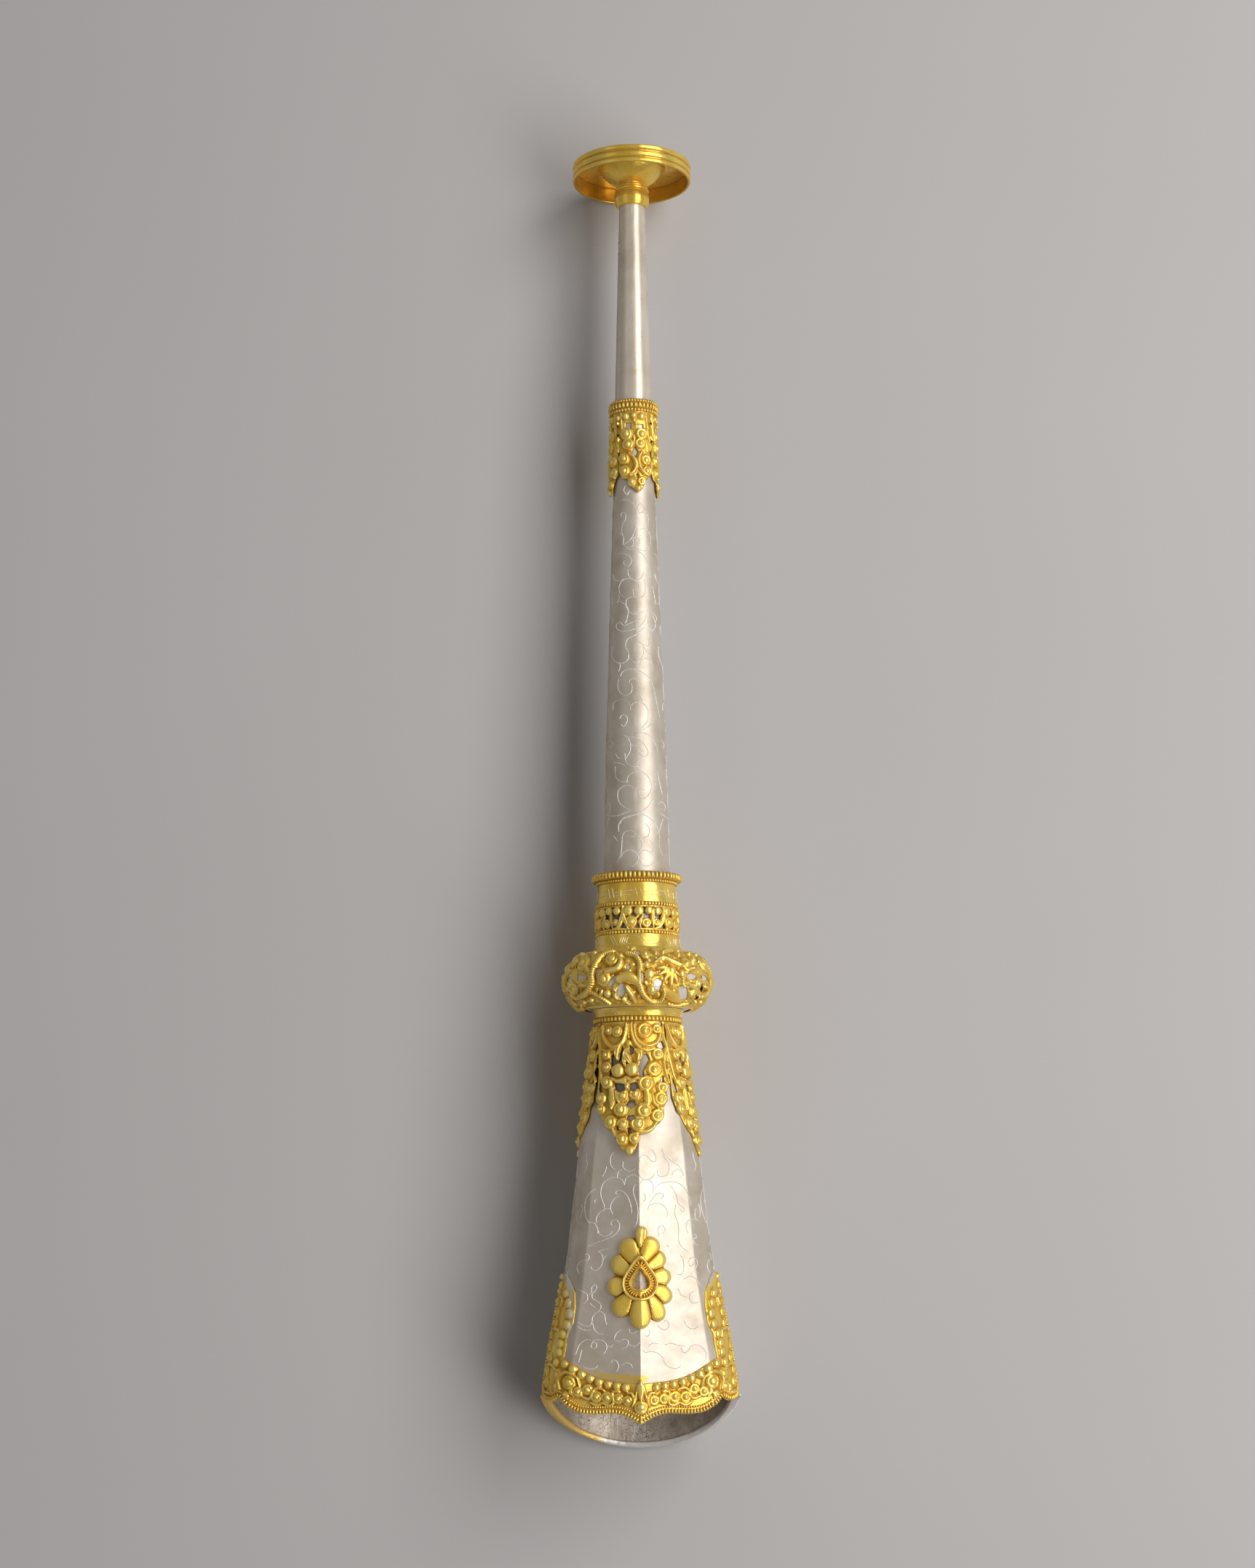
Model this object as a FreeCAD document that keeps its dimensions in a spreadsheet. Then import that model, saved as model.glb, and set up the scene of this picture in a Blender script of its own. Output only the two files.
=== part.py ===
import FreeCAD, Part
import math
import os
import Sketcher
from FreeCAD import Placement, Rotation, Vector

# Thighbone trumpet in silver and gilt copper, lying on its back.
# Every piece is drawn on the horn's own axis: Z runs from the mouthpiece's front face down to the bell,
# Y points to the ridge on the front of the bell and X to its side. One placement then lays the horn down.
# A "station" is a distance along the axis from the mouthpiece's front face.

# Driving sizes in millimetres
SIZES = (
    # fits
    ("solder_gap", 0.05),
    ("overrun", 5.0),
    ("edge_overrun", 1.0),
    ("lip_overrun", 1.5),
    # mouthpiece
    ("plate_radius", 18.7),
    ("plate_thickness", 0.9),
    ("rim_radius", 19.8),
    ("rim_groove", 0.5),
    ("rim_height", 5.9),
    ("cup_wall", 0.9),
    ("cup_depth", 6.6),
    ("cup_curve_radius", 12.1),
    ("throat_radius", 3.3),
    ("throat_length", 1.8),
    ("moulding_radius", 5.75),
    ("moulding_height", 1.9),
    ("ferrule_radius", 5.8),
    ("ferrule_lip_radius", 4.95),
    ("ferrule_height", 5.4),
    # tubes
    ("tube_wall", 0.65),
    ("mouthpipe_start_radius", 4.15),
    ("mouthpipe_end_radius", 6.15),
    ("mouthpipe_end", 84.0),
    ("tenon_length", 14.0),
    ("main_tube_start_radius", 6.85),
    ("main_tube_taper_start", 114.0),
    ("main_tube_mid_station", 204.0),
    ("main_tube_mid_radius", 9.9),
    ("main_tube_end_radius", 10.65),
    ("main_tube_end", 246.0),
    # upper collar
    ("collar_start", 83.4),
    ("collar_ring_radius", 8.4),
    ("collar_ring_height", 2.1),
    ("collar_wire_radius", 8.0),
    ("collar_wire_height", 1.0),
    ("bead_depth", 0.45),
    ("bead_pitch", 1.4),
    ("large_bead_pitch", 1.53),
    ("fine_bead_depth", 0.3),
    ("fine_bead_pitch", 1.06),
    ("collar_wall", 0.8),
    ("collar_flare", 0.65),
    ("collar_notch_station", 101.0),
    ("collar_tip_station", 115.2),
    ("collar_boss_radius", 1.15),
    ("collar_boss_height", 0.7),
    # bands above the knob
    ("knob_stack_start", 240.9),
    ("top_ring_radius", 14.6),
    ("top_ring_height", 2.4),
    ("top_wire_radius", 13.0),
    ("top_wire_height", 1.0),
    ("sleeve_radius", 11.9),
    ("sleeve_overlap", 12.0),
    ("fret_band_start_radius", 12.5),
    ("fret_band_end_radius", 12.95),
    ("fret_band_height", 6.3),
    ("band_wire_radius", 13.3),
    ("band_wire_height", 1.2),
    ("pierced_band_radius", 13.25),
    ("pierced_band_wall", 0.6),
    ("pierced_band_height", 7.9),
    ("pierced_boss_radius", 0.95),
    ("pierced_boss_height", 0.45),
    ("upper_neck_radius", 13.6),
    ("upper_neck_height", 4.6),
    ("upper_neck_flare", 0.8),
    # knob
    ("knob_centre_station", 275.2),
    ("knob_hub_radius", 13.7),
    ("knob_bulge_radius", 9.0),
    ("knob_wall", 0.8),
    ("knob_openwork_wall", 0.9),
    ("knob_boss_radius", 1.5),
    ("knob_boss_height", 0.5),
    ("lower_neck_radius", 14.3),
    ("lower_neck_end_radius", 13.9),
    ("lower_neck_height", 2.6),
    ("lower_ring_radius", 14.35),
    ("lower_ring_height", 1.8),
    # lambrequin collar on the bell
    ("lambrequin_start_radius", 13.4),
    ("lambrequin_tip_radius", 19.2),
    ("lambrequin_wall", 0.8),
    ("lambrequin_notch_station", 303.0),
    ("lambrequin_tip_station", 330.2),
    ("lambrequin_boss_radius", 1.5),
    ("lambrequin_boss_height", 0.8),
    # bell
    ("bell_wall", 0.8),
    ("throat_outer_radius", 13.0),
    ("throat_end", 289.0),
    ("waist_station", 309.0),
    ("waist_radius", 15.9),
    ("facet_station", 330.0),
    ("facet_half_width", 19.0),
    ("facet_front", 18.3),
    ("facet_back", 18.6),
    ("shoulder_station", 365.0),
    ("shoulder_half_width", 23.3),
    ("shoulder_front", 19.4),
    ("shoulder_back", 21.8),
    ("mouth_station", 400.0),
    ("mouth_half_width", 29.3),
    ("mouth_front", 20.6),
    ("mouth_back", 26.0),
    ("lip_station", 421.7),
    ("lip_half_width", 30.6),
    ("lip_plan_half_width", 29.9),
    ("lip_front", 21.2),
    ("lip_back", 28.2),
    ("corner_station", 403.0),
    ("front_cusp_rise", 8.5),
    # border of the mouth
    ("border_thickness", 0.85),
    ("border_side_drop", 1.5),
    ("wing_tip_station", 366.8),
    ("border_bead_station", 376.0),
    ("border_band_station", 397.0),
    ("border_overhang", 0.5),
    ("border_boss_radius", 1.25),
    ("border_boss_height", 0.8),
    ("border_bead_width", 1.5),
    ("border_bead_height", 0.75),
    ("border_fine_bead_width", 0.8),
    ("border_fine_bead_height", 0.45),
    ("rim_band_width", 1.6),
    ("rim_band_thickness", 0.9),
    ("rim_wire_width", 1.0),
    ("rim_wire_thickness", 0.8),
    # medallion
    ("medallion_station", 368.6),
    ("medallion_half_width", 10.0),
    ("medallion_half_length", 15.0),
    ("medallion_thickness", 0.7),
    ("petal_height", 1.3),
    ("bezel_half_width", 3.25),
    ("bezel_half_length", 4.15),
    ("bezel_wall", 0.7),
    ("bezel_height", 2.6),
    ("bezel_wire_width", 1.1),
    ("bezel_wire_height", 1.7),
)

# Shares and counts that several pieces use
SINK_SHARE = 0.6
HALF_TURN_DEGREES = 180
FULL_TURN_DEGREES = 360

doc = FreeCAD.newDocument("thighbone_trumpet")
sheet = doc.addObject("Spreadsheet::Sheet", "Sizes")
for row, (alias, value) in enumerate(SIZES, start=1):
    sheet.set(f"A{row}", alias)
    sheet.set(f"B{row}", str(value))
    sheet.setAlias(f"B{row}", alias)
doc.recompute()


class Length:
    """A size of the sheet, or a sum or share of such sizes, with the expression that keeps it bound."""

    def __init__(self, number, text):
        self.number = number
        self.text = text

    def __add__(self, other):
        return Length(self.number + other.number, f"({self.text} + {other.text})")

    def __sub__(self, other):
        return Length(self.number - other.number, f"({self.text} - {other.text})")

    def __mul__(self, share):
        return Length(self.number * share, f"({self.text} * {share})")


class SizeTable:
    """Gives each alias of the sheet as a Length."""

    def __getattr__(self, alias):
        return Length(float(sheet.get(alias)), f"{sheet.Name}.{alias}")


size = SizeTable()
origin = Length(0, "0")
pieces = []


def revolved_body(name, outline):
    """A body turned about the horn's axis from a closed half outline.

    outline holds (radius, station) corners in order. A corner may add the radius of the arc that leaves it
    and its side: 1 where the arc's centre is on the left of the way to the next corner, -1 on the right.
    """
    body = doc.addObject("PartDesign::Body", name)
    body.Label = name
    sketch = body.newObject("Sketcher::SketchObject", name + "_profile")
    for feature in body.Origin.OriginFeatures:
        if feature.Role == "XZ_Plane":
            sketch.AttachmentSupport = (feature, [""])
    sketch.MapMode = "FlatFace"
    corners = [Vector(corner[0].number, corner[1].number, 0) for corner in outline]
    ends = []
    for index, corner in enumerate(outline):
        here = corners[index]
        there = corners[(index + 1) % len(corners)]
        if len(corner) == 2:
            sketch.addGeometry(Part.LineSegment(here, there))
            ends.append((1, 2))
        else:
            radius, side = corner[2].number, corner[3]
            chord = there - here
            left = Vector(-chord.y, chord.x, 0).normalize()
            reach = math.sqrt(radius**2 - (chord.Length / 2) ** 2)
            centre = (here + there) * 0.5 + left * (side * reach)
            start, stop = (here, there) if side > 0 else (there, here)
            angles = [math.atan2(point.y - centre.y, point.x - centre.x) for point in (start, stop)]
            if angles[1] < angles[0]:
                angles[1] += 2 * math.pi
            circle = Part.Circle(centre, Vector(0, 0, 1), radius)
            sketch.addGeometry(Part.ArcOfCircle(circle, angles[0], angles[1]))
            ends.append((1, 2) if side > 0 else (2, 1))
    for index, corner in enumerate(outline):
        before = (index - 1) % len(outline)
        sketch.addConstraint(
            Sketcher.Constraint("Coincident", before, ends[before][1], index, ends[index][0])
        )
        point = ends[index][0]
        across = sketch.addConstraint(
            Sketcher.Constraint("DistanceX", -1, 1, index, point, corner[0].number)
        )
        sketch.setExpression(f"Constraints[{across}]", corner[0].text)
        if corner[1].number == 0:
            sketch.addConstraint(Sketcher.Constraint("PointOnObject", index, point, -1))
        else:
            along = sketch.addConstraint(
                Sketcher.Constraint("DistanceY", -1, 1, index, point, corner[1].number)
            )
            sketch.setExpression(f"Constraints[{along}]", corner[1].text)
        if len(corner) > 2:
            curve = sketch.addConstraint(Sketcher.Constraint("Radius", index, corner[2].number))
            sketch.setExpression(f"Constraints[{curve}]", corner[2].text)
    turn = body.newObject("PartDesign::Revolution", name + "_turn")
    turn.Profile = sketch
    turn.ReferenceAxis = (sketch, ["V_Axis"])
    turn.Angle = 360
    body.Tip = turn
    doc.recompute()
    pieces.append(body)
    return body


def round_corners(centre_radius, centre_station, radius, start_degrees, end_degrees, chords):
    """Corners of a half outline along a circle, counted from the side that faces away from the axis."""
    corners = []
    for step in range(chords + 1):
        angle = math.radians(start_degrees + (end_degrees - start_degrees) * step / chords)
        across = round(math.cos(angle), 6)
        along = round(math.sin(angle), 6)
        corners.append((centre_radius + radius * across, centre_station + radius * along))
    return tuple(corners)


def shaped_piece(name, shape):
    """A piece whose form is a free surface or a pierced sheet."""
    feature = doc.addObject("Part::Feature", name)
    feature.Label = name
    feature.Shape = shape
    pieces.append(feature)
    return feature


def polygon_wire(points):
    return Part.makePolygon(points + [points[0]])


# Levels of a bead: share of the ring's height, and how much of the bead's depth the level lies lower.
BEAD_LEVEL_SHARES = ((0.0, 1.0), (0.5, 0.0), (1.0, 1.0))


def bead_ring(inner_radius, outer_radius, start, height, depth, pitch, points_per_bead):
    """A ring whose rim is a row of beads: valleys and crowns on three levels, the widest in the middle."""
    count = round(2 * math.pi * outer_radius.number / pitch.number)
    wires = []
    for level_share, lift in BEAD_LEVEL_SHARES:
        station = start.number + height.number * level_share
        crown = outer_radius.number - depth.number * lift
        valley = crown - depth.number
        corners = []
        for bead in range(count):
            for step in range(points_per_bead):
                radius = valley if step == 0 else crown
                turn = 2 * math.pi * (bead + step / points_per_bead) / count
                corners.append(Vector(radius * math.cos(turn), radius * math.sin(turn), station))
        wires.append(polygon_wire(corners))
    rim = Part.makeLoft(wires, True, True)
    bore = Part.makeCylinder(
        inner_radius.number,
        height.number + 2 * size.overrun.number,
        Vector(0, 0, start.number - size.overrun.number),
    )
    return rim.cut(bore)


BOSS_SIDES = 6
BOSS_TOP_SHARE = 0.5


def boss(foot, outward, radius, height, sink):
    """A small raised boss with its foot sunk into the sheet that carries it."""
    turn = Rotation(Vector(0, 0, 1), outward)
    wires = []
    for level, reach in ((-sink, radius), (height, radius * BOSS_TOP_SHARE)):
        corners = []
        for corner in range(BOSS_SIDES):
            angle = 2 * math.pi * corner / BOSS_SIDES
            corners.append(Vector(reach * math.cos(angle), reach * math.sin(angle), level))
        wires.append(polygon_wire([foot + turn.multVec(corner) for corner in corners]))
    return Part.makeLoft(wires, True, True)


def radial_prism(outline, reach, turn_degrees):
    """A cutter that runs straight out from the axis. outline holds (sideways, station) corners."""
    face = Part.Face(polygon_wire([Vector(across, 0, station) for across, station in outline]))
    prism = face.extrude(Vector(0, reach, 0))
    prism.rotate(Vector(0, 0, 0), Vector(0, 0, 1), turn_degrees)
    return prism


def cone_sleeve(inner_start, inner_end, wall, start, end):
    """A tapered sheet-metal sleeve."""
    length = end - start
    outer = Part.makeCone(inner_start + wall, inner_end + wall, length, Vector(0, 0, start))
    inner = Part.makeCone(inner_start, inner_end, length, Vector(0, 0, start))
    return outer.cut(inner)


def on_circle(radius, degrees, station):
    angle = math.radians(degrees)
    return Vector(radius * math.sin(angle), radius * math.cos(angle), station)


# Mouthpiece: a flat plate with a hemispherical cup, a ridged band turned down round it,
# a double ring and a rounded ferrule that grips the thin end of the tube.
cup_outer_curve = size.cup_curve_radius + size.cup_wall
THROAT_WALL_SHARE = 1.2
throat_outer_radius = size.throat_radius + size.cup_wall * THROAT_WALL_SHARE
cup_centre = size.cup_depth - size.cup_curve_radius
cup_bottom = cup_centre + cup_outer_curve
throat_end = cup_bottom + size.throat_length
CUP_CHORDS = 7


def cup_degrees(radius, curve, station):
    """The angles on the cup's curve where it meets the plate and the throat."""
    start = math.degrees(math.asin((station.number - cup_centre.number) / curve.number))
    end = math.degrees(math.acos(radius.number / curve.number))
    return start, end


outer_degrees = cup_degrees(throat_outer_radius, cup_outer_curve, size.plate_thickness)
inner_degrees = cup_degrees(size.throat_radius, size.cup_curve_radius, origin)
revolved_body(
    "mouthpiece_cup",
    (
        (size.plate_radius, origin),
        (size.plate_radius, size.plate_thickness),
        *round_corners(origin, cup_centre, cup_outer_curve, *outer_degrees, CUP_CHORDS),
        (throat_outer_radius, throat_end),
        (size.throat_radius, throat_end),
        *reversed(round_corners(origin, cup_centre, size.cup_curve_radius, *inner_degrees, CUP_CHORDS)),
    ),
)
rim_inner_radius = size.plate_radius + size.solder_gap
rim_groove_radius = size.rim_radius - size.rim_groove
# Each groove of the band: its upper edge, its bottom and its lower edge as shares of the band's height
RIM_GROOVE_SHARES = ((0.22, 0.34, 0.44), (0.62, 0.72, 0.84))
grooves = []
for upper_share, bottom_share, lower_share in RIM_GROOVE_SHARES:
    grooves.append((size.rim_radius, size.rim_height * upper_share))
    grooves.append((rim_groove_radius, size.rim_height * bottom_share))
    grooves.append((size.rim_radius, size.rim_height * lower_share))
revolved_body(
    "mouthpiece_rim_band",
    (
        (rim_inner_radius, origin),
        (size.rim_radius, origin),
        *grooves,
        (size.rim_radius, size.rim_height),
        (rim_inner_radius, size.rim_height),
    ),
)
moulding_bore = throat_outer_radius + size.solder_gap
# Turned profiles as shares of the piece's radius and of its height
MOULDING_SHARES = ((0.93, 0.25), (0.86, 0.45), (1.0, 0.72))
MOULDING_TOP_SHARE = 0.86
MOULDING_FOOT_SHARE = 0.93
FERRULE_SHARES = ((0.93, 0.0), (1.0, 0.25), (1.0, 0.5), (0.97, 0.75))
revolved_body(
    "mouthpiece_ring_moulding",
    (
        (moulding_bore, cup_bottom + size.solder_gap),
        (size.moulding_radius * MOULDING_TOP_SHARE, cup_bottom + size.solder_gap),
        *((size.moulding_radius * across, cup_bottom + size.moulding_height * along)
          for across, along in MOULDING_SHARES),
        (size.moulding_radius * MOULDING_FOOT_SHARE, throat_end - size.solder_gap),
        (moulding_bore, throat_end - size.solder_gap),
    ),
)
ferrule_end = throat_end + size.ferrule_height
mouthpipe_slope = (size.mouthpipe_end_radius.number - size.mouthpipe_start_radius.number) / (
    size.mouthpipe_end.number - throat_end.number
)
ferrule_start_bore = size.mouthpipe_start_radius + size.solder_gap
ferrule_end_bore = ferrule_start_bore + size.ferrule_height * mouthpipe_slope
revolved_body(
    "mouthpiece_ferrule",
    (
        (ferrule_start_bore, throat_end),
        *((size.ferrule_radius * across, throat_end + size.ferrule_height * along)
          for across, along in FERRULE_SHARES),
        (size.ferrule_lip_radius, ferrule_end),
        (ferrule_end_bore, ferrule_end),
    ),
)

# Tubes: the mouthpipe's tenon slides into a socket at the thin end of the engraved main tube.
tenon_end = size.mouthpipe_end + size.tenon_length
revolved_body(
    "mouthpipe",
    (
        (size.mouthpipe_start_radius - size.tube_wall, throat_end + size.solder_gap),
        (size.mouthpipe_start_radius, throat_end + size.solder_gap),
        (size.mouthpipe_end_radius, size.mouthpipe_end),
        (size.mouthpipe_end_radius, tenon_end),
        (size.mouthpipe_end_radius - size.tube_wall, tenon_end),
        (size.mouthpipe_end_radius - size.tube_wall, size.mouthpipe_end),
    ),
)
socket_radius = size.mouthpipe_end_radius + size.solder_gap
revolved_body(
    "main_tube",
    (
        (socket_radius, size.mouthpipe_end),
        (size.main_tube_start_radius, size.mouthpipe_end),
        (size.main_tube_start_radius, size.main_tube_taper_start),
        (size.main_tube_mid_radius, size.main_tube_mid_station),
        (size.main_tube_end_radius, size.main_tube_end),
        (size.main_tube_end_radius - size.tube_wall, size.main_tube_end),
        (size.main_tube_mid_radius - size.tube_wall, size.main_tube_mid_station),
        (size.main_tube_start_radius - size.tube_wall, size.main_tube_taper_start),
    ),
)

# Upper collar: three beaded wires and a pierced sleeve that hangs down in four tips.
collar_bore = size.main_tube_start_radius + size.solder_gap
collar_ring_start = size.collar_start + size.collar_wire_height
lower_wire_start = collar_ring_start + size.collar_ring_height
collar_sleeve_start = lower_wire_start + size.collar_wire_height
WIRE_BEAD_POINTS = 2
RING_BEAD_POINTS = 3
shaped_piece(
    "upper_collar_bead_wire_top",
    bead_ring(collar_bore, size.collar_wire_radius, size.collar_start, size.collar_wire_height,
              size.fine_bead_depth, size.fine_bead_pitch, WIRE_BEAD_POINTS),
)
shaped_piece(
    "upper_collar_ring",
    bead_ring(collar_bore, size.collar_ring_radius, collar_ring_start, size.collar_ring_height,
              size.bead_depth, size.bead_pitch, RING_BEAD_POINTS),
)
shaped_piece(
    "upper_collar_bead_wire_bottom",
    bead_ring(collar_bore, size.collar_wire_radius, lower_wire_start, size.collar_wire_height,
              size.fine_bead_depth, size.fine_bead_pitch, WIRE_BEAD_POINTS),
)

# The outline of the notch between two hanging tips, seen square on: shares of its reach sideways
# and of its rise from the notch's top to the tips.
NOTCH_SHARES = (
    (0.0, 0.0), (0.05, 0.15), (0.06, 0.34), (0.2, 0.4), (0.24, 0.5), (0.42, 0.56),
    (0.45, 0.66), (0.64, 0.72), (0.68, 0.84), (0.9, 0.92), (1.0, 1.04),
)
LAPPETS = 4


def lappet_notches(tip_radius, notch_station, tip_station, extra):
    """Cutters for the notches that part a sleeve into four hanging tips."""
    reach = tip_radius * math.sin(math.radians(HALF_TURN_DEGREES / LAPPETS))
    rise = tip_station - notch_station
    right = [(across * reach, notch_station + along * rise) for across, along in NOTCH_SHARES]
    bottom = tip_station + extra
    outline = right + [(reach, bottom), (-reach, bottom)]
    outline += [(-across, station) for across, station in reversed(right[1:])]
    return [
        radial_prism(outline, tip_radius + extra, FULL_TURN_DEGREES / LAPPETS * (lappet + 0.5))
        for lappet in range(LAPPETS)
    ]


def diamond(across, station, half_width, half_length):
    return [
        (across, station - half_length),
        (across + half_width, station),
        (across, station + half_length),
        (across - half_width, station),
    ]


def square(across, station, half_width, half_length):
    return [
        (across - half_width, station - half_length),
        (across + half_width, station - half_length),
        (across + half_width, station + half_length),
        (across - half_width, station + half_length),
    ]


def pierced_sleeve(sleeve, radius_at, wall, holes, bosses, boss_radius, boss_height, reach, sits_turned):
    """Cuts the holes of one lappet, and sets its bosses, on all four lappets of a sleeve.

    The finished sleeve sits turned on the horn by sits_turned degrees, to the left from in front.
    """
    cutters = []
    raised = []
    for lappet in range(LAPPETS):
        turn = FULL_TURN_DEGREES / LAPPETS * lappet
        for hole in holes:
            cutters.append(radial_prism(hole, reach, turn))
        for across, station, share in bosses:
            radius = radius_at(station) + wall
            lean = math.degrees(math.asin(across / radius))
            foot = on_circle(radius, lean + turn, station)
            outward = on_circle(1, lean + turn, 0)
            raised.append(boss(foot, outward, boss_radius * share, boss_height * share,
                               wall * SINK_SHARE))
    finished = sleeve.cut(cutters).fuse(raised)
    finished.rotate(Vector(0, 0, 0), Vector(0, 0, 1), sits_turned)
    return finished


# Each collar was soldered on a little turned about the axis, to the left where positive.
COLLAR_TURNED_DEGREES = -3
LAMBREQUIN_TURNED_DEGREES = 9

# One lappet of the upper collar. Holes: share of the radius sideways, share of the drop, and half width and
# half length as shares of a boss. Bosses: sideways, drop and scale.
COLLAR_SQUARE_SHARES = ((-0.16, 0.2, 0.5, 0.6), (0.2, 0.2, 0.5, 0.6))
COLLAR_DIAMOND_SHARES = ((0.02, 0.5, 0.7, 1.0), (0.0, 0.76, 0.35, 0.6))
COLLAR_BOSS_SHARES = (
    (-0.42, 0.07, 0.8), (-0.14, 0.07, 0.75), (0.14, 0.07, 0.75), (0.42, 0.07, 0.8), (-0.26, 0.32, 1.05),
    (0.26, 0.32, 1.05), (-0.28, 0.44, 0.95), (0.3, 0.44, 0.95), (-0.42, 0.6, 1.1), (0.42, 0.6, 1.1),
    (-0.36, 0.73, 1.0), (0.38, 0.73, 1.0), (-0.13, 0.86, 0.85), (0.13, 0.86, 0.85), (0.0, 0.955, 0.6),
)


def placed_holes(kind, table_shares, width, start, span, unit):
    """Hole outlines of one kind from a table of shares."""
    return [kind(across * width, start + along * span, half_width * unit, half_length * unit)
            for across, along, half_width, half_length in table_shares]


def placed_bosses(table_shares, width, start, span):
    return [(across * width, start + along * span, scale) for across, along, scale in table_shares]


def upper_collar_openwork():
    start = collar_sleeve_start.number + size.solder_gap.number
    end = size.collar_tip_station.number + size.edge_overrun.number
    inner = collar_bore.number
    inner_end = inner + size.collar_flare.number
    wall = size.collar_wall.number
    sleeve = cone_sleeve(inner, inner_end, wall, start, end)
    tip = size.collar_tip_station.number
    sleeve = sleeve.cut(lappet_notches(inner_end + wall, size.collar_notch_station.number, tip,
                                       size.overrun.number))

    def radius_at(station):
        return inner + (inner_end - inner) * (station - start) / (end - start)

    span = tip - start
    width = inner + wall
    unit = size.collar_boss_radius.number
    holes = placed_holes(square, COLLAR_SQUARE_SHARES, width, start, span, unit)
    holes += placed_holes(diamond, COLLAR_DIAMOND_SHARES, width, start, span, unit)
    bosses = placed_bosses(COLLAR_BOSS_SHARES, width, start, span)
    return pierced_sleeve(sleeve, radius_at, wall, holes, bosses, unit,
                          size.collar_boss_height.number, width + size.overrun.number,
                          COLLAR_TURNED_DEGREES)


shaped_piece("upper_collar_openwork", upper_collar_openwork())

# Stack of bands above the knob, all on one sleeve that joins the main tube to the bell's throat.
top_wire_start = size.knob_stack_start + size.top_ring_height
fret_start = top_wire_start + size.top_wire_height
upper_wire_start = fret_start + size.fret_band_height
pierced_start = upper_wire_start + size.band_wire_height
lower_band_wire_start = pierced_start + size.pierced_band_height
upper_neck_start = lower_band_wire_start + size.band_wire_height
knob_top = size.knob_centre_station - size.knob_bulge_radius
knob_bottom = size.knob_centre_station + size.knob_bulge_radius
sleeve_bore = size.main_tube_end_radius + size.solder_gap
band_bore = size.sleeve_radius + size.solder_gap
shaped_piece(
    "knob_top_ring",
    bead_ring(sleeve_bore, size.top_ring_radius, size.knob_stack_start, size.top_ring_height,
              size.bead_depth, size.large_bead_pitch, RING_BEAD_POINTS),
)
shaped_piece(
    "knob_top_bead_wire",
    bead_ring(band_bore, size.top_wire_radius, top_wire_start, size.top_wire_height,
              size.fine_bead_depth, size.fine_bead_pitch, WIRE_BEAD_POINTS),
)
revolved_body(
    "knob_sleeve",
    (
        (sleeve_bore, top_wire_start),
        (size.sleeve_radius, top_wire_start),
        (size.sleeve_radius, knob_bottom + size.sleeve_overlap),
        (sleeve_bore, knob_bottom + size.sleeve_overlap),
    ),
)
revolved_body(
    "fret_band",
    (
        (band_bore, fret_start),
        (size.fret_band_start_radius, fret_start),
        (size.fret_band_end_radius, upper_wire_start),
        (band_bore, upper_wire_start),
    ),
)
shaped_piece(
    "band_bead_wire_upper",
    bead_ring(band_bore, size.band_wire_radius, upper_wire_start, size.band_wire_height,
              size.fine_bead_depth, size.fine_bead_pitch, WIRE_BEAD_POINTS),
)
shaped_piece(
    "band_bead_wire_lower",
    bead_ring(band_bore, size.band_wire_radius, lower_band_wire_start, size.band_wire_height,
              size.fine_bead_depth, size.fine_bead_pitch, WIRE_BEAD_POINTS),
)
BAND_REPEATS = 12
# One repeat of the band: corners of the slot and places of the bosses, as shares of the repeat and the height
BAND_SLOT_SHARES = ((-0.3, 0.26), (-0.1, -0.06), (0.14, -0.3), (0.04, 0.02))
BAND_BOSS_SHARES = ((0.26, -0.24), (0.3, 0.24), (-0.14, -0.3))


def pierced_band():
    """A sleeve pierced with slanting leaf-shaped slots, with a pair of bosses beside each."""
    outer = size.pierced_band_radius.number
    wall = size.pierced_band_wall.number
    start = pierced_start.number
    height = size.pierced_band_height.number
    sleeve = Part.makeCylinder(outer, height, Vector(0, 0, start)).cut(
        Part.makeCylinder(outer - wall, height, Vector(0, 0, start))
    )
    pitch = 2 * math.pi * outer / BAND_REPEATS
    middle = start + height / 2
    slot = [(across * pitch, middle + along * height) for across, along in BAND_SLOT_SHARES]
    cutters = []
    raised = []
    for repeat in range(BAND_REPEATS):
        turn = FULL_TURN_DEGREES / BAND_REPEATS * repeat
        cutters.append(radial_prism(slot, outer + size.overrun.number, -turn))
        for lean_share, rise_share in BAND_BOSS_SHARES:
            lean = turn + lean_share * FULL_TURN_DEGREES / BAND_REPEATS
            foot = on_circle(outer, lean, middle + rise_share * height)
            raised.append(
                boss(foot, on_circle(1, lean, 0), size.pierced_boss_radius.number,
                     size.pierced_boss_height.number, wall * SINK_SHARE)
            )
    return sleeve.cut(cutters).fuse(raised)


shaped_piece("pierced_band", pierced_band())
NECK_STRAIGHT_SHARE = 0.5
revolved_body(
    "upper_neck",
    (
        (band_bore, upper_neck_start),
        (size.upper_neck_radius, upper_neck_start),
        (size.upper_neck_radius, upper_neck_start + size.upper_neck_height * NECK_STRAIGHT_SHARE),
        (size.upper_neck_radius + size.upper_neck_flare, knob_top - size.solder_gap),
        (band_bore, knob_top - size.solder_gap),
    ),
)

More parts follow.
